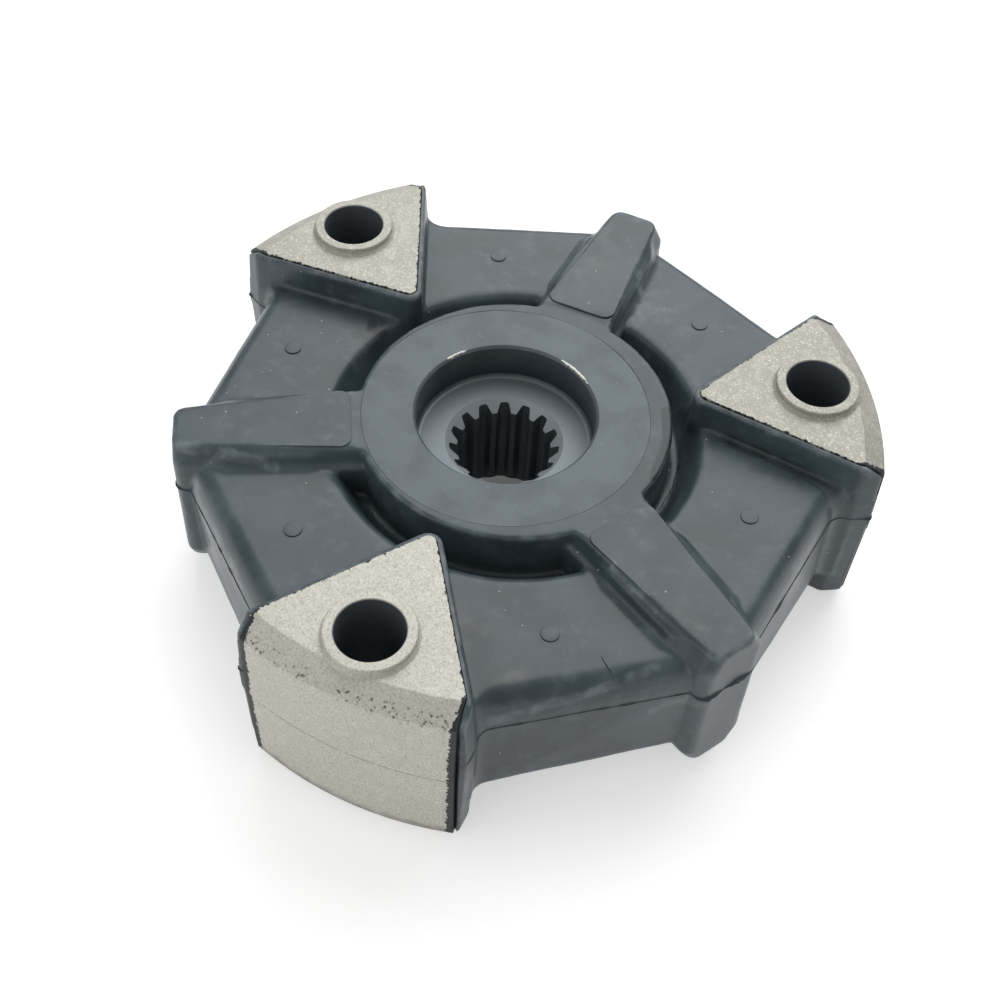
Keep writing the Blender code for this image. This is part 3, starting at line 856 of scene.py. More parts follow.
@dataclass
class Surface:
    """A mesh's points as arrays, to measure and mark them."""

    body: Piece
    points: np.ndarray = field(init=False)
    normals: np.ndarray = field(init=False)
    edges: np.ndarray = field(init=False)

    def __post_init__(self) -> None:
        """Read the mesh."""
        mesh = self.body.data
        rows = []
        for name in ("co", "normal"):
            values = np.empty(len(mesh.vertices) * 3, np.float32)
            mesh.vertices.foreach_get(name, values)
            rows.append(values.reshape(-1, 3).astype(float))
        self.points, self.normals = rows
        self.edges = np.empty(len(mesh.edges) * 2, np.int32)
        mesh.edges.foreach_get("vertices", self.edges)
        self.edges = self.edges.reshape(-1, 2)

    def average(self, values: np.ndarray) -> np.ndarray:
        """Return each point's mean of its neighbours' values.

        Args:
            values: A number or a row of numbers for each point.

        Returns:
            The means, in the same layout.
        """
        total = np.zeros_like(values)
        count = np.zeros(len(values))
        for a, b in ((0, 1), (1, 0)):
            np.add.at(total, self.edges[:, a], values[self.edges[:, b]])
            np.add.at(count, self.edges[:, a], 1)
        count = np.maximum(count, 1)
        return total / (count[:, None] if values.ndim > 1 else count)

    def bending(self, rounds: int) -> np.ndarray:
        """Measure how far each point stands out of its surroundings.

        Args:
            rounds: How often the surroundings are averaged.

        Returns:
            The height in metres, above zero on an outer edge and below in a corner.
        """
        smooth = self.points.copy()
        for _ in range(rounds):
            smooth = 0.5 * smooth + 0.5 * self.average(smooth)
        return ((self.points - smooth) * self.normals).sum(axis=1)

    def write(self, name: str, values: np.ndarray) -> None:
        """Keep one value for each point, for the material to read."""
        attribute = self.body.data.attributes.new(name, "FLOAT", "POINT")
        attribute.data.foreach_set("value", np.clip(values, 0.0, 1.0).astype(np.float32))


@dataclass
class Insert:
    """One cast wedge with its bolt hole and raised bosses. Its axis lies along its own +X."""

    number: int
    angle: float
    # The casting's tone, which differs from insert to insert as painted light and shade
    lit_tone: str
    scraped: float = 0.0
    bolt_circle: float = 70.0 * MM
    height: float = 47.4 * MM
    # The wedge's outline
    apex: float = 41.1 * MM
    half_angle: float = 35.0
    nose_radius: float = 2.0 * MM
    nose_steps: int = 9
    shoulder: float = 74.5 * MM
    side_spread: float = 0.7 * MM
    shoulder_radius: float = 1.5 * MM
    rim: float = 84.95 * MM
    rim_steps: int = 24
    # The rim's profile, from the lower face to the upper one
    chamfer_inset: float = 1.1 * MM
    chamfer_height: float = 1.2 * MM
    lower_run: float = 1.3 * MM
    parting: float = 1.1 * MM
    parting_step: float = 0.2 * MM
    mismatch: float = 0.22 * MM
    draft: float = 1.0 * MM
    bevel_inset: float = 5.9 * MM
    bevel_depth: float = 3.0 * MM
    upper_run: float = 0.35 * MM
    rim_radii: tuple[float, ...] = (0.6 * MM, 1.0 * MM, 0.05 * MM, 0.05 * MM, 0.5 * MM, 0.6 * MM)
    # The bosses, the bolt hole and the edges
    boss_height: float = 1.8 * MM
    boss_radius: float = 9.6 * MM
    boss_foot: float = 0.6 * MM
    boss_sink: float = 0.3 * MM
    boss_rise: tuple[float, float] = (0.05 * MM, 0.5 * MM)
    boss_radii: tuple[float, ...] = (0.02 * MM, 0.4 * MM, 0.35 * MM)
    hole_radius: float = 7.25 * MM
    hole_edge: float = 0.3 * MM
    edge: float = 0.25 * MM
    # How far torn rubber laps over the flanks
    rubber_lap: float = 1.1 * MM
    segments: int = 96
    crease: float = 38.0

    def half_width(self) -> float:
        """Return half the wedge's width at its shoulders."""
        return (self.shoulder - self.apex) * math.tan(math.radians(self.half_angle))

    def rim_profile(self) -> Points:
        """Return the rim's profile, from the lower face to the upper one.

        Returns:
            Points of inset from the rim and height, with softened corners.
        """
        top = self.height / 2
        corners = vectors(
            (self.chamfer_inset + self.lower_run, -top),
            (self.chamfer_inset, -top),
            (self.mismatch, self.chamfer_height - top),
            (self.mismatch, self.parting - self.parting_step),
            (0.0, self.parting),
            (self.draft, top - self.bevel_depth),
            (self.bevel_inset, top),
            (self.bevel_inset + self.upper_run, top),
        )
        return soften(corners, self.rim_radii, 5)

    def outline(self, inset: float, shrink: float) -> Points:
        """Return the wedge's outline.

        Args:
            inset: How far the rim lies inside its widest circle.
            shrink: How far the whole outline is drawn in.

        Returns:
            The flat outline, counter-clockwise.
        """
        apex = Vector((self.apex, 0.0))
        shoulder = Vector((self.shoulder, self.half_width()))
        full_y = shoulder.y + self.side_spread
        side = (Vector((math.sqrt(self.rim**2 - full_y**2), full_y)) - shoulder).normalized()
        along = shoulder.dot(side)
        run = math.sqrt(along**2 - shoulder.length_squared + (self.rim - inset) ** 2) - along
        corner = shoulder + side * run
        rim_angle = math.degrees(math.atan2(corner.y, corner.x))
        steps = self.rim_steps
        half = [on_circle(corner.length, rim_angle * (i + 0.5) / (steps + 0.5)) for i in range(steps + 1)]
        half += soften([corner, shoulder, apex], (self.shoulder_radius,))[1:-1]
        corners = [shoulder, apex] + mirrored([shoulder])
        nose = soften(corners, (self.nose_radius,), self.nose_steps)
        # The mirror image brings the other half of the nose's arc
        half += nose[1 : (self.nose_steps + 3) // 2]
        return grown(half + mirrored(half), -shrink)

    def build(self) -> Piece:
        """Make the insert.

        Returns:
            The wedge with its bosses and bolt hole, at its place in the coupling.
        """
        top = self.height / 2
        rings = []
        for point in self.rim_profile():
            depth = max(0.0, self.edge - (top - abs(point.y)))
            rings.append(at_height(self.outline(point.x, depth), point.y))
        body = loft(f"insert_{self.number}_casting", rings)
        spot = Vector((self.bolt_circle, 0.0))
        face = top + self.boss_height
        foot = self.boss_radius + self.boss_foot
        corners = vectors(
            (foot, top - self.boss_sink),
            (foot, top + self.boss_rise[0]),
            (self.boss_radius, top + self.boss_rise[1]),
            (self.boss_radius, face),
            (self.hole_radius, face),
        )
        upper = soften(corners, self.boss_radii)
        combine(body, Join.ADD, [turned("boss", mirrored(upper) + upper, self.segments, spot)])
        mouth = vectors(
            (self.hole_radius, face - self.hole_edge),
            (self.hole_radius + self.hole_edge * 2, face + self.hole_edge),
        )
        combine(body, Join.CUT, [turned("hole", mirrored(mouth) + mouth, self.segments, spot)])
        shade(body, self.crease)
        body.data.transform(Matrix.Rotation(math.radians(self.angle), 4, "Z"))
        return body

    def finish(self) -> bpy.types.Material:
        """Return this insert's cast and blasted finish."""
        return BlastedCastAluminium(
            name=f"blasted_cast_aluminium_{self.number}",
            seed=float(self.number),
            turn=self.angle,
            flank_apex=self.apex,
            flank_angle=self.half_angle,
            side=self.half_width() + self.side_spread - self.rubber_lap,
            hole=self.bolt_circle,
            parting=self.parting,
            clean=self.lit_tone,
            scraped=self.scraped,
        ).build()


@dataclass
class Hub:
    """The steel hub: a turned boss with a counterbore and a splined bore.

    Its arms lie inside the rubber, so they are in the solids alone.
    """

    centre: Vector = field(default_factory=lambda: Vector((-2.0 * MM, -0.7 * MM)))
    height: float = 39.8 * MM
    radius: float = 33.2 * MM
    face_run: float = 2.0 * MM
    counterbore_radius: float = 20.8 * MM
    counterbore_depth: float = 10.0 * MM
    rim_land: float = 1.1 * MM
    rim_chamfer: float = 0.6 * MM
    floor_run: float = 4.0 * MM
    outer_radii: tuple[float, ...] = (0.4 * MM, 0.12 * MM)
    inner_radii: tuple[float, ...] = (0.3 * MM, 0.3 * MM, 1.2 * MM)
    # The spline
    teeth: int = 15
    module: float = 1.5875 * MM
    pressure_angle: float = 30.0
    root_radius: float = 13.0 * MM
    tip_radius: float = 11.1 * MM
    tooth_radii: tuple[float, ...] = (0.25 * MM, 0.6 * MM, 0.6 * MM, 0.25 * MM)
    first_groove: float = 330.0
    root_lean: float = 14.0
    mouth: float = 0.9 * MM
    mouth_past_tips: float = 1.0 * MM
    # Where the counterbore's rim is rubbed bright: middle and half width, in degrees
    rubbed: tuple[tuple[float, float], ...] = ((148.0, 7.0), (64.0, 12.0))
    rubbed_ring: tuple[float, float] = (0.55 * MM, 0.2 * MM)
    rubbed_depth: float = 0.3 * MM
    wall_shade_depth: float = 0.8 * MM
    wall_shade_share: float = 0.85
    touching: float = 0.02 * MM
    segments: int = 192
    crease: float = 35.0

    def turned_profile(self) -> Points:
        """Return the blank's profile, from its lower face round to the counterbore's floor.

        Returns:
            Points of radius and height.
        """
        top = self.height / 2
        floor = top - self.counterbore_depth
        wall = self.counterbore_radius
        face = (wall + self.rim_land, top)
        outer = vectors((self.radius - self.face_run, -top), (self.radius, -top), (self.radius, top), face)
        inner = vectors(
            face,
            (wall + self.rim_chamfer, top),
            (wall, top - self.rim_chamfer),
            (wall, floor),
            (wall - self.floor_run, floor),
        )
        return soften(outer, self.outer_radii, 5) + soften(inner, self.inner_radii, 5)[1:]

    def groove_outline(self) -> Points:
        """Return the splined bore's outline, with the corners of its teeth rounded.

        Returns:
            The flat outline, counter-clockwise.
        """
        pitch_radius = self.teeth * self.module / 2
        half_space = math.pi * self.module / 4
        root_slope = math.tan(math.radians(self.root_lean))
        tip_slope = math.tan(math.radians(self.pressure_angle))
        root_half = half_space - (self.root_radius - pitch_radius) * root_slope
        tip_half = half_space + (pitch_radius - self.tip_radius) * tip_slope
        root_turn = math.degrees(root_half / self.root_radius)
        tip_turn = math.degrees(tip_half / self.tip_radius)
        tip, root = self.tip_radius, self.root_radius
        turns = ((tip, 180.0 / self.teeth), (tip, tip_turn), (root, root_turn))
        outline = []
        for tooth in range(self.teeth):
            middle = self.first_groove + tooth * 360.0 / self.teeth
            corners = [on_circle(radius, middle - turn) for radius, turn in turns]
            corners += [on_circle(radius, middle + turn) for radius, turn in reversed(turns)]
            outline += soften(corners, self.tooth_radii, 3)[:-1]
        return outline

    def build(self) -> Piece:
        """Make the hub.

        Returns:
            The hub, its own origin on its axis.
        """
        body = turned("hub_turning", self.turned_profile(), self.segments)
        reach = self.height
        cutters = [loft("bore", [at_height(self.groove_outline(), z) for z in (-reach, reach)])]
        top = self.height / 2
        wide = self.root_radius + self.mouth
        narrow = self.tip_radius - self.mouth_past_tips
        run = wide - narrow
        for name, level, way in (("top_mouth", top - self.counterbore_depth, 1), ("low_mouth", -top, -1)):
            cone = vectors((narrow, level - way * run), (wide, level), (wide, level + way * run))
            cutters.append(turned(name, cone, self.segments))
        combine(body, Join.CUT, cutters)
        shade(body, self.crease)
        body.location = (self.centre.x, self.centre.y, 0.0)
        return body

    def mark(self, body: Piece) -> None:
        """Note the hub's rubbed bright edges, and the painted shade on its counterbore's wall.

        Args:
            body: The finished hub.
        """
        surface = Surface(body)
        x, y, z = surface.points.T
        radii = np.hypot(x, y)
        turns = np.degrees(np.arctan2(y, x))
        top = self.height / 2
        middle_of_rim, half_of_rim = self.rubbed_ring
        rim = np.abs(radii - self.counterbore_radius - middle_of_rim) < half_of_rim
        high = z > top - self.rubbed_depth
        worn = np.zeros(len(radii))
        for middle, half in self.rubbed:
            worn = np.maximum(worn, np.clip(1.6 - np.abs(turns - middle) / half, 0.0, 1.0))
        surface.write("worn", worn * rim * high)
        wall = np.abs(radii - self.counterbore_radius) < self.touching
        surface.write("wall_shade", self.wall_shade_share * wall * (z < top - self.wall_shade_depth))


@dataclass
class RubberElement:
    """The moulded rubber, rounded from its solid and given its seams, marks and wear."""

    node: str = "rubber_element"
    voxel: float = 0.55 * MM
    smoothing: int = 4
    faces: int = 165000
    crease: float = 50.0
    parting: float = 7.3 * MM
    web_top: float = 15.8 * MM
    dimple_radius: float = 2.0 * MM
    dimple_height: float = 0.3 * MM
    dimple_sink: float = 1.0 * MM
    dimple_crown: float = 0.4 * MM
    dimple_edge: float = 0.15 * MM
    dimple_reach: float = 57.8 * MM
    dimple_turn: float = 28.4
    dimple_segments: int = 32
    arm_top: float = 20.3 * MM
    pad_height: float = 0.4 * MM
    pad_sink: float = 1.0 * MM
    pad_edge: float = 0.12 * MM
    pad_drop: float = 0.15 * MM
    pad_end: float = 37.4 * MM
    pad_fade: float = 60.0 * MM
    pad_halves: tuple[float, float] = (8.7 * MM, 6.6 * MM)
    pad_corner: float = 2.6 * MM
    # The fillers that close the pockets, and the cutters that open them again
    filler_drop: float = 0.4 * MM
    filler_insets: tuple[float, float] = (2.4 * MM, 6.2 * MM)
    filler_bevel: float = 3.2 * MM
    filler_lap: float = 0.5 * MM
    filler_segments: int = 96
    weld: float = 0.001 * MM
    gap: float = 0.04 * MM
    cutter_past: float = 4.0 * MM
    # The fin along the mould's joint
    seam_step: float = 0.5 * MM
    fin: float = 0.16 * MM
    fin_swing: float = 0.3 * MM
    fin_wave: float = 3.0 * MM
    fin_root: tuple[float, float] = (0.7 * MM, 0.5 * MM)
    tear: float = 0.7 * MM
    widest: float = 82.6 * MM
    # Torn tongues of the fin: place, how far each stands out and how wide it is
    tongues: tuple[tuple[float, float, float, float], ...] = (
        (-27.0 * MM, -80.5 * MM, 1.5 * MM, 2.0 * MM),
        (-83.2 * MM, 16.9 * MM, 1.3 * MM, 2.4 * MM),
        (83.2 * MM, 16.9 * MM, 1.3 * MM, 2.4 * MM),
        (65.0 * MM, -44.5 * MM, 1.0 * MM, 4.0 * MM),
        (69.5 * MM, -38.0 * MM, 1.3 * MM, 3.5 * MM),
        (-63.0 * MM, -44.0 * MM, 0.6 * MM, 3.0 * MM),
    )
    # Length and height of the uneven shrinkage's waves
    waves: tuple[tuple[float, float], ...] = ((18.0 * MM, 0.16 * MM), (5.0 * MM, 0.05 * MM))
    crack_step: float = 0.7 * MM
    crack_depths: tuple[float, float] = (0.5 * MM, 0.45 * MM)
    crack_sway: float = 0.12 * MM
    crack_halves: tuple[float, float] = (0.12 * MM, 0.24 * MM)
    crack_tip: float = 0.04 * MM
    # Where the skirts end beside an insert's rim: reach, blur, half width and how dark
    skirt_end: tuple[float, float, float, float] = (79.0 * MM, 1.0 * MM, 27.0 * MM, 1.4)
    # The bending at which an edge's wear and painted highlight, or a corner's painted shade, is full
    edge_bend: float = 0.14 * MM
    hollow_shade_bend: float = 0.18 * MM
    skin: np.ndarray = field(init=False)
    bend: np.ndarray = field(init=False)

    def build(self, inserts: list[Insert], hub: Hub) -> Piece:
        """Make the rubber element.

        Args:
            inserts: The inserts that the rubber holds.
            hub: The hub that the rubber holds.

        Returns:
            One closed skin, cut to take the inserts and the hub.
        """
        body = placed("rubber_moulding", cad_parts[self.node].data.copy())
        self.fill(body, inserts, hub)
        self.round(body)
        self.thin(body)
        self.ripple(body)
        combine(body, Join.ADD, self.dimples() + self.pads() + [self.flash(body)])
        combine(body, Join.CUT, self.pockets(inserts, hub) + self.cracks())
        shade(body, self.crease)
        return body

    def fill(self, body: Piece, inserts: list[Insert], hub: Hub) -> None:
        """Close the rubber's pockets, so that only its outside is rounded.

        Args:
            body: The rubber's solid, which takes up the fillers.
            inserts: The inserts that the rubber holds.
            hub: The hub that the rubber holds.
        """
        fillers = []
        for insert in inserts:
            half = insert.height / 2 - self.filler_drop
            wide, narrow = self.filler_insets
            levels = ((wide, -half), (wide, half - self.filler_bevel), (narrow, half))
            rings = [at_height(insert.outline(inset, -self.filler_drop), z) for inset, z in levels]
            fillers.append(loft("filler", rings, insert.angle))
        half = hub.height / 2
        radius = hub.radius + self.filler_lap
        wall = vectors((radius, -half), (radius, half))
        fillers.append(turned("filler", wall, self.filler_segments, hub.centre))
        builder = bmesh.new()
        for item in [body] + fillers:
            builder.from_mesh(item.data)
        bmesh.ops.remove_doubles(builder, verts=builder.verts, dist=self.weld)
        builder.to_mesh(body.data)
        builder.free()
        discard(fillers)

    def round(self, body: Piece) -> None:
        """Draw the skin on fine voxels and smooth it, as the mould's rounded edges are.

        Args:
            body: The filled solid.
        """
        remesh = body.modifiers.new("voxels", "REMESH")
        remesh.mode = "VOXEL"
        remesh.voxel_size = self.voxel
        smooth = body.modifiers.new("smooth", "SMOOTH")
        smooth.factor = 0.5
        smooth.iterations = self.smoothing
        settle(body)

    def thin(self, body: Piece) -> None:
        """Measure the even skin's bending, then draw its flat places in larger faces.

        Args:
            body: The rounded skin.
        """
        surface = Surface(body)
        self.skin = surface.points
        self.bend = surface.average(surface.average(surface.bending(6)))
        thin = body.modifiers.new("thin", "DECIMATE")
        thin.ratio = min(1.0, self.faces / (2.0 * len(body.data.polygons)))
        settle(body)

    def ripple(self, body: Piece) -> None:
        """Move the skin by about a tenth of a millimetre at most, as rubber shrinks unevenly.

        Args:
            body: The rounded skin.
        """
        surface = Surface(body)
        for size, height in self.waves:
            shift = np.array([noise.noise(Vector(point / size)) for point in surface.points])
            surface.points += surface.normals * (height * shift)[:, None]
        body.data.vertices.foreach_set("co", surface.points.ravel().astype(np.float32))
        body.data.update()

    def dimples(self) -> list[Piece]:
        """Make the raised round marks that the mould's ejector pins leave on the webs.

        Returns:
            A low disc for each mark.
        """
        top = self.web_top + self.dimple_height
        corners = vectors(
            (self.dimple_radius, self.web_top - self.dimple_sink),
            (self.dimple_radius, top),
            (self.dimple_crown, top),
        )
        profile = soften(corners, (self.dimple_edge,))
        spots = [
            on_circle(self.dimple_reach, arm + turn)
            for arm in ARM_ANGLES
            for turn in (-self.dimple_turn, self.dimple_turn)
        ]
        return [turned("dimple", profile, self.dimple_segments, spot) for spot in spots]

    def pads(self) -> list[Piece]:
        """Make the thin steps in which the arms' flat tops end beside the hub.

        Returns:
            A thin plate for each arm.
        """
        end, fade = self.pad_end, self.pad_fade
        wide, narrow = self.pad_halves
        high, edge = self.pad_height, self.pad_edge
        levels = ((-self.pad_sink, 0.0), (high - edge, 0.0), (high, edge))
        slope = (high + self.pad_drop) / (fade - end)
        rings = []
        for rise, inset in levels:
            half = vectors((fade, narrow - inset), (end + inset, wide - inset))
            outline = soften(half + mirrored(half), (self.pad_corner - inset,) * 2, 6)
            rings.append([Vector((p.x, p.y, self.arm_top + rise - slope * (p.x - end))) for p in outline])
        return [loft("pad", rings, arm) for arm in ARM_ANGLES]

    def pockets(self, inserts: list[Insert], hub: Hub) -> list[Piece]:
        """Make the cutters that leave room for the inserts and the hub.

        Args:
            inserts: The inserts that the rubber holds.
            hub: The hub that the rubber holds.

        Returns:
            Closed solids.
        """
        made = []
        for insert in inserts:
            half = insert.height / 2 + self.cutter_past
            outline = insert.outline(-self.cutter_past, -self.gap)
            made.append(loft("pocket", [at_height(outline, z) for z in (-half, half)], insert.angle))
        half = hub.height / 2 + self.cutter_past
        fit = hub.radius + self.gap / 2
        made.append(turned("hub_pocket", vectors((fit, -half), (fit, half)), hub.segments, hub.centre))
        return made

    def seam(self, body: Piece) -> Points:
        """Follow the rubber's outside along the mould's joint.

        Args:
            body: The rounded skin.

        Returns:
            The flat outline of the skin at the joint, counter-clockwise, evenly spaced.
        """
        builder = bmesh.new()
        builder.from_mesh(body.data)
        bmesh.ops.bisect_plane(
            builder,
            geom=list(builder.verts) + list(builder.edges) + list(builder.faces),
            plane_co=(0, 0, self.parting),
            plane_no=(0, 0, 1),
            clear_inner=True,
            clear_outer=True,
        )
        # A dictionary keeps the points in order, so that each run starts from the same one
        left = dict.fromkeys(builder.verts)
        loops = []
        while left:
            ahead = [next(iter(left))]
            loop = []
            while ahead:
                point = ahead[0]
                del left[point]
                loop.append(Vector(point.co.xy))
                ahead = [e.other_vert(point) for e in point.link_edges if e.other_vert(point) in left]
            loops.append(loop)
        builder.free()
        outer = max(loops, key=lambda loop: max(p.length for p in loop) * len(loop))
        if sum(a.x * b.y - a.y * b.x for a, b in zip(outer, outer[1:] + outer[:1])) < 0:
            outer.reverse()
        closed = outer + outer[:1]
        runs = np.cumsum([0.0] + [(b - a).length for a, b in zip(closed, closed[1:])])
        stops = np.linspace(0.0, runs[-1], int(runs[-1] / self.seam_step), endpoint=False)
        flat = [np.interp(stops, runs, [p[axis] for p in closed]) for axis in (0, 1)]
        for _ in range(2):
            flat = [(np.roll(line, 1) + 2 * line + np.roll(line, -1)) / 4 for line in flat]
        return vectors(*zip(*flat))

    def flash(self, body: Piece) -> Piece:
        """Make the thin fin that the mould's joint leaves round the rubber.

        Args:
            body: The rounded skin.

        Returns:
            A closed band, uneven in width, with a few torn tongues.
        """
        path = self.seam(body)
        depth, half = self.fin_root
        rails: list[Points] = [[], [], []]
        for i, point in enumerate(path):
            along = (path[(i + 1) % len(path)] - path[i - 1]).normalized()
            out = Vector((along.y, -along.x))
            wander = max(0.0, noise.noise(Vector((point.x, point.y, 0.0)) / self.fin_wave))
            width = self.fin + self.fin_swing * wander
            rough = 0.7 + 0.6 * noise.noise(Vector((point.x, point.y, 1.0)) / self.tear)
            for x, y, extra, reach in self.tongues:
                width += extra * max(0.0, 1.0 - (point - Vector((x, y))).length / reach) * rough
            tip = point + out * width
            tip.x = min(max(tip.x, -self.widest), self.widest)
            inner = point - out * depth
            rails[0].append(Vector((inner.x, inner.y, self.parting + half)))
            rails[1].append(Vector((tip.x, tip.y, self.parting)))
            rails[2].append(Vector((inner.x, inner.y, self.parting - half)))
        return loft("flash", rails, closed=True)

    def cracks(self) -> list[Piece]:
        """Make the cutters of the fine cracks and folds on the rubber's upper side.

        Returns:
            A thin wedge for each crack.
        """
        made = []
        chance = random.Random(5)
        rise, depth = self.crack_depths
        for line in CRACKS:
            corners = [Vector(point) * MM for point in line]
            path = []
            for start, end in zip(corners, corners[1:]):
                steps = max(2, int((end - start).length / self.crack_step))
                path += [start.lerp(end, i / steps) for i in range(steps)]
            path.append(corners[-1])
            rings = []
            for i, point in enumerate(path):
                along = (path[min(i + 1, len(path) - 1)] - path[max(i - 1, 0)]).normalized()
                side = along.cross(Vector((0, 0, 1))).normalized()
                place = point + side * chance.uniform(-self.crack_sway, self.crack_sway)
                ends = i in (0, len(path) - 1)
                half = self.crack_tip if ends else chance.uniform(*self.crack_halves)
                up, down = Vector((0, 0, rise)), Vector((0, 0, -depth))
                rings.append([place + side * half + up, place - side * half + up, place + down])
            made.append(loft("crack", rings))
        return made

    def mark(self, body: Piece, inserts: list[Insert]) -> None:
        """Note the skin's worn edges and painted highlights, its painted shade in corners, and its marks.

        Args:
            body: The finished skin.
            inserts: The inserts, beside whose rims the skirts' ends are dark.
        """
        surface = Surface(body)
        tree = KDTree(len(self.skin))
        for i, point in enumerate(self.skin):
            tree.insert(point, i)
        tree.balance()
        bend = surface.average(np.array([self.bend[tree.find(point)[1]] for point in surface.points]))
        surface.write("edge", bend / self.edge_bend)
        # Painted shade in the hollows
        surface.write("hollow_shade", -bend / self.hollow_shade_bend)
        marks = {kind: np.zeros(len(bend)) for kind in Mark}
        for patch in PATCHES:
            away = distance_to_line(surface.points, np.array(patch.line) * MM)
            layer = patch.strength * np.clip(1.5 - away / (patch.width * MM), 0.0, 1.0)
            marks[patch.kind] = np.maximum(marks[patch.kind], layer)
        x, y, _ = surface.points.T
        reach, blur, half, depth = self.skirt_end
        for insert in inserts:
            cosine, sine = on_circle(1.0, insert.angle)
            along, across = x * cosine + y * sine, y * cosine - x * sine
            ends = np.clip((along - reach) / blur, 0.0, 1.0) * (np.abs(across) < half)
            marks[Mark.GRIME_AND_SHADE] = np.maximum(marks[Mark.GRIME_AND_SHADE], depth * ends)
        for kind, values in marks.items():
            surface.write(kind.value, values)


# Studio


def seen_by(tree: Tree, rays: tuple[str, ...]) -> Socket:
    """Return a mask that is 1 where one of these kinds of ray sees the surface.

    Args:
        tree: The tree that the nodes go into.
        rays: The kinds of ray, as the Light Path node names them.

    Returns:
        The output that carries the mask.
    """
    seen: object = 0.0
    for ray in rays:
        hit = add_node(tree, "LightPath", out=f"Is {ray} Ray")
        seen = add_node(tree, "Math", {0: seen, 1: hit}, operation="MAXIMUM")
    return seen


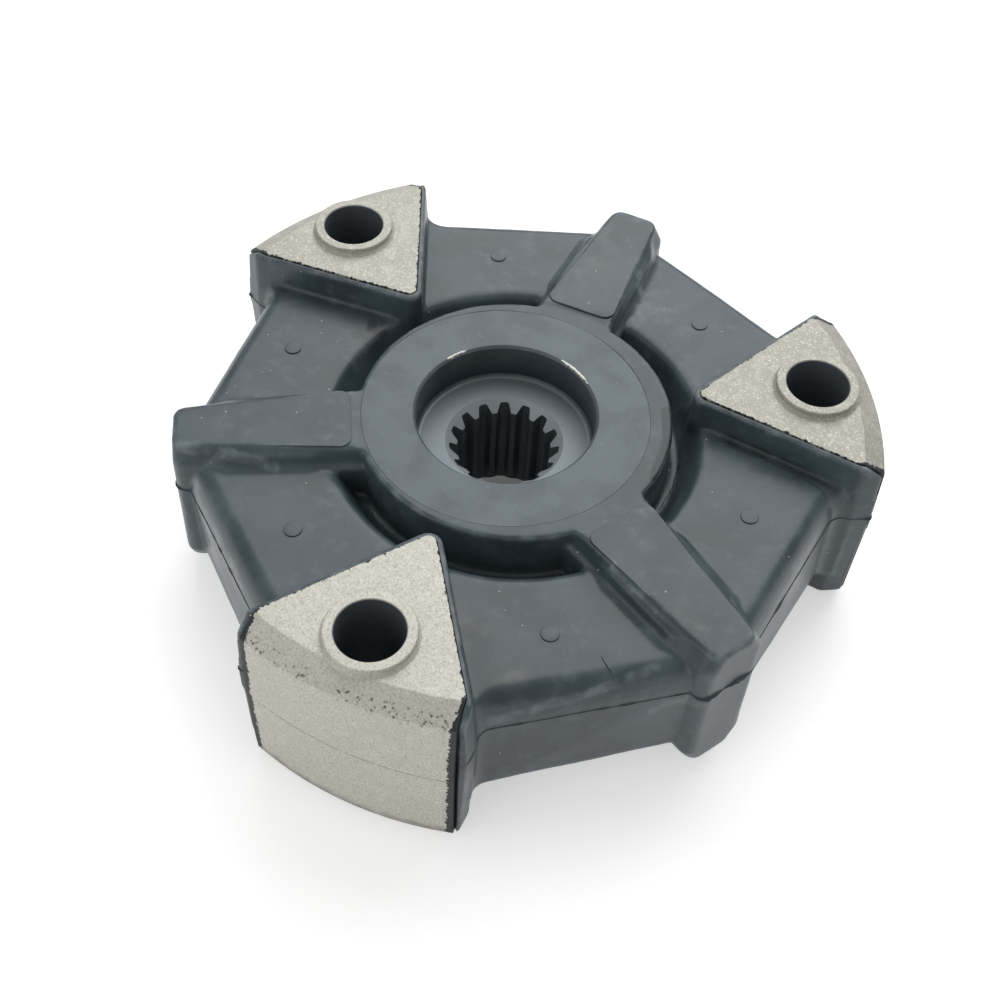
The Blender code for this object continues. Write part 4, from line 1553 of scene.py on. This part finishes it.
@dataclass
class Studio:
    """The pale floor, the soft lights and the camera."""

    floor_height: float = -25.5 * MM
    floor_reach: float = 3.0
    card: str = "#ececec"
    world_strength: float = 0.42
    shade_reach: float = 20.0 * MM
    lift: float = 0.48
    # Name, place, width and power of the softboxes
    softboxes: tuple[tuple[str, tuple[float, float, float], float, float], ...] = (
        ("back_softbox", (-0.10, 0.62, 0.72), 1.0, 7.5),
        ("front_softbox", (-0.45, -0.75, 0.40), 0.8, 1.6),
    )
    # The camera's lens, angles and place, solved from the photograph
    lens: float = 49.31
    sensor: float = 36.0
    yaw: float = -0.606
    pitch: float = 51.425
    roll: float = 3.563
    turn: float = 21.313
    camera_place: tuple[float, float, float] = (0.0, -211.519 * MM, 227.101 * MM)

    def build_floor(self) -> None:
        """Make the floor: white to the camera, and dark only where the part shades it."""
        reach, height = self.floor_reach, self.floor_height
        mesh = bpy.data.meshes.new("floor")
        corners = ((-reach, -reach), (reach, -reach), (reach, reach), (-reach, reach))
        mesh.from_pydata([(x, y, height) for x, y in corners], [], [(0, 1, 2, 3)])
        material, tree, _ = new_material("white_studio_card")
        tree.nodes.clear()
        card = add_node(tree, "BsdfDiffuse", {"Color": linear(self.card)})
        seen = seen_by(tree, ("Camera", "Glossy", "Transmission"))
        place = add_node(tree, "TexCoord", out="Object")
        away = add_node(tree, "VectorMath", {0: place}, out="Value", operation="LENGTH")
        lit = mask(tree, Fade(away, self.shade_reach, 3.0 * self.shade_reach), top=self.lift)
        lift = add_node(tree, "Math", {0: seen, 1: lit}, operation="MULTIPLY")
        glow = add_node(tree, "Emission", {"Color": (1, 1, 1, 1), "Strength": lift})
        add_node(tree, "OutputMaterial", {"Surface": add_node(tree, "AddShader", {0: card, 1: glow})})
        mesh.materials.append(material)
        placed("floor", mesh)

    def build_world(self) -> None:
        """Surround the part with even light, white where the camera or a reflection sees it."""
        world = bpy.data.worlds.new("soft_room")
        bpy.context.scene.world = world
        world.use_nodes = True
        tree = world.node_tree
        tree.nodes.clear()
        seen = seen_by(tree, ("Camera", "Transmission"))
        room, white = [
            add_node(tree, "Background", {"Color": (1, 1, 1, 1), "Strength": strength})
            for strength in (self.world_strength, 1.0)
        ]
        add_node(tree, "OutputWorld", {"Surface": add_node(tree, "MixShader", {0: seen, 1: room, 2: white})})

    def build_lights(self) -> None:
        """Hang a large softbox behind and above the part and a weaker one at its front."""
        for name, spot, size, power in self.softboxes:
            lamp = bpy.data.lights.new(name, "AREA")
            lamp.shape = "SQUARE"
            lamp.size = size
            lamp.energy = power
            light = placed(name, lamp)
            light.location = spot
            light.rotation_mode = "QUATERNION"
            light.rotation_quaternion = (-Vector(spot)).to_track_quat("-Z", "Y")

    def build_camera(self) -> None:
        """Stand the camera where the photograph was taken from."""
        yaw, pitch, roll = [math.radians(angle) for angle in (self.yaw, self.pitch, self.roll)]
        turn = Matrix.Rotation(math.radians(self.turn), 3, "Z")
        ahead = Vector((math.sin(yaw) * math.cos(pitch), math.cos(yaw) * math.cos(pitch), -math.sin(pitch)))
        right = Vector((math.cos(yaw), -math.sin(yaw), 0.0))
        up = right.cross(ahead)
        rolled_right = math.cos(roll) * right + math.sin(roll) * up
        rolled_up = -math.sin(roll) * right + math.cos(roll) * up
        pose = turn @ Matrix((rolled_right, rolled_up, -ahead)).transposed()
        place = turn @ Vector(self.camera_place) - Vector((0.0, 0.0, self.floor_height))
        lens = bpy.data.cameras.new("camera")
        lens.lens = self.lens
        lens.sensor_width = self.sensor
        lens.clip_start = 0.01
        camera = placed("camera", lens)
        camera.matrix_world = Matrix.Translation(place) @ pose.to_4x4()
        bpy.context.scene.camera = camera

    def build(self) -> None:
        """Make the whole studio."""
        self.build_floor()
        self.build_world()
        self.build_lights()
        self.build_camera()
        bpy.context.scene.view_settings.view_transform = "Standard"


def clear_startup() -> None:
    """Remove what Blender's startup file puts in the scene."""
    discard([bpy.data.objects[name] for name in ("Cube", "Light", "Camera") if name in bpy.data.objects])


def main() -> None:
    """Build the coupling's looks and its studio."""
    logging.basicConfig(level=logging.INFO, format="%(name)s: %(message)s")
    clear_startup()
    Studio().build()
    # Each insert's tone with painted light and shade, and how far its bevel is scraped
    lit_tones = (("#c9c7bd", 0.8), ("#b3b2a8", 0.0), ("#acaba1", 0.0))
    inserts = [Insert(i + 1, 270.0 - 120.0 * i, *lit_tone) for i, lit_tone in enumerate(lit_tones)]
    for insert in inserts:
        dress(insert.build(), insert.finish(), f"insert_{insert.number}")
    hub = Hub()
    turning = hub.build()
    hub.mark(turning)
    dress(turning, TurnedDarkSteel().build(), "hub")
    rubber = RubberElement()
    moulding = rubber.build(inserts, hub)
    rubber.mark(moulding, inserts)
    dress(moulding, MouldedRubber().build(), rubber.node)


if __name__ == "__main__":
    main()
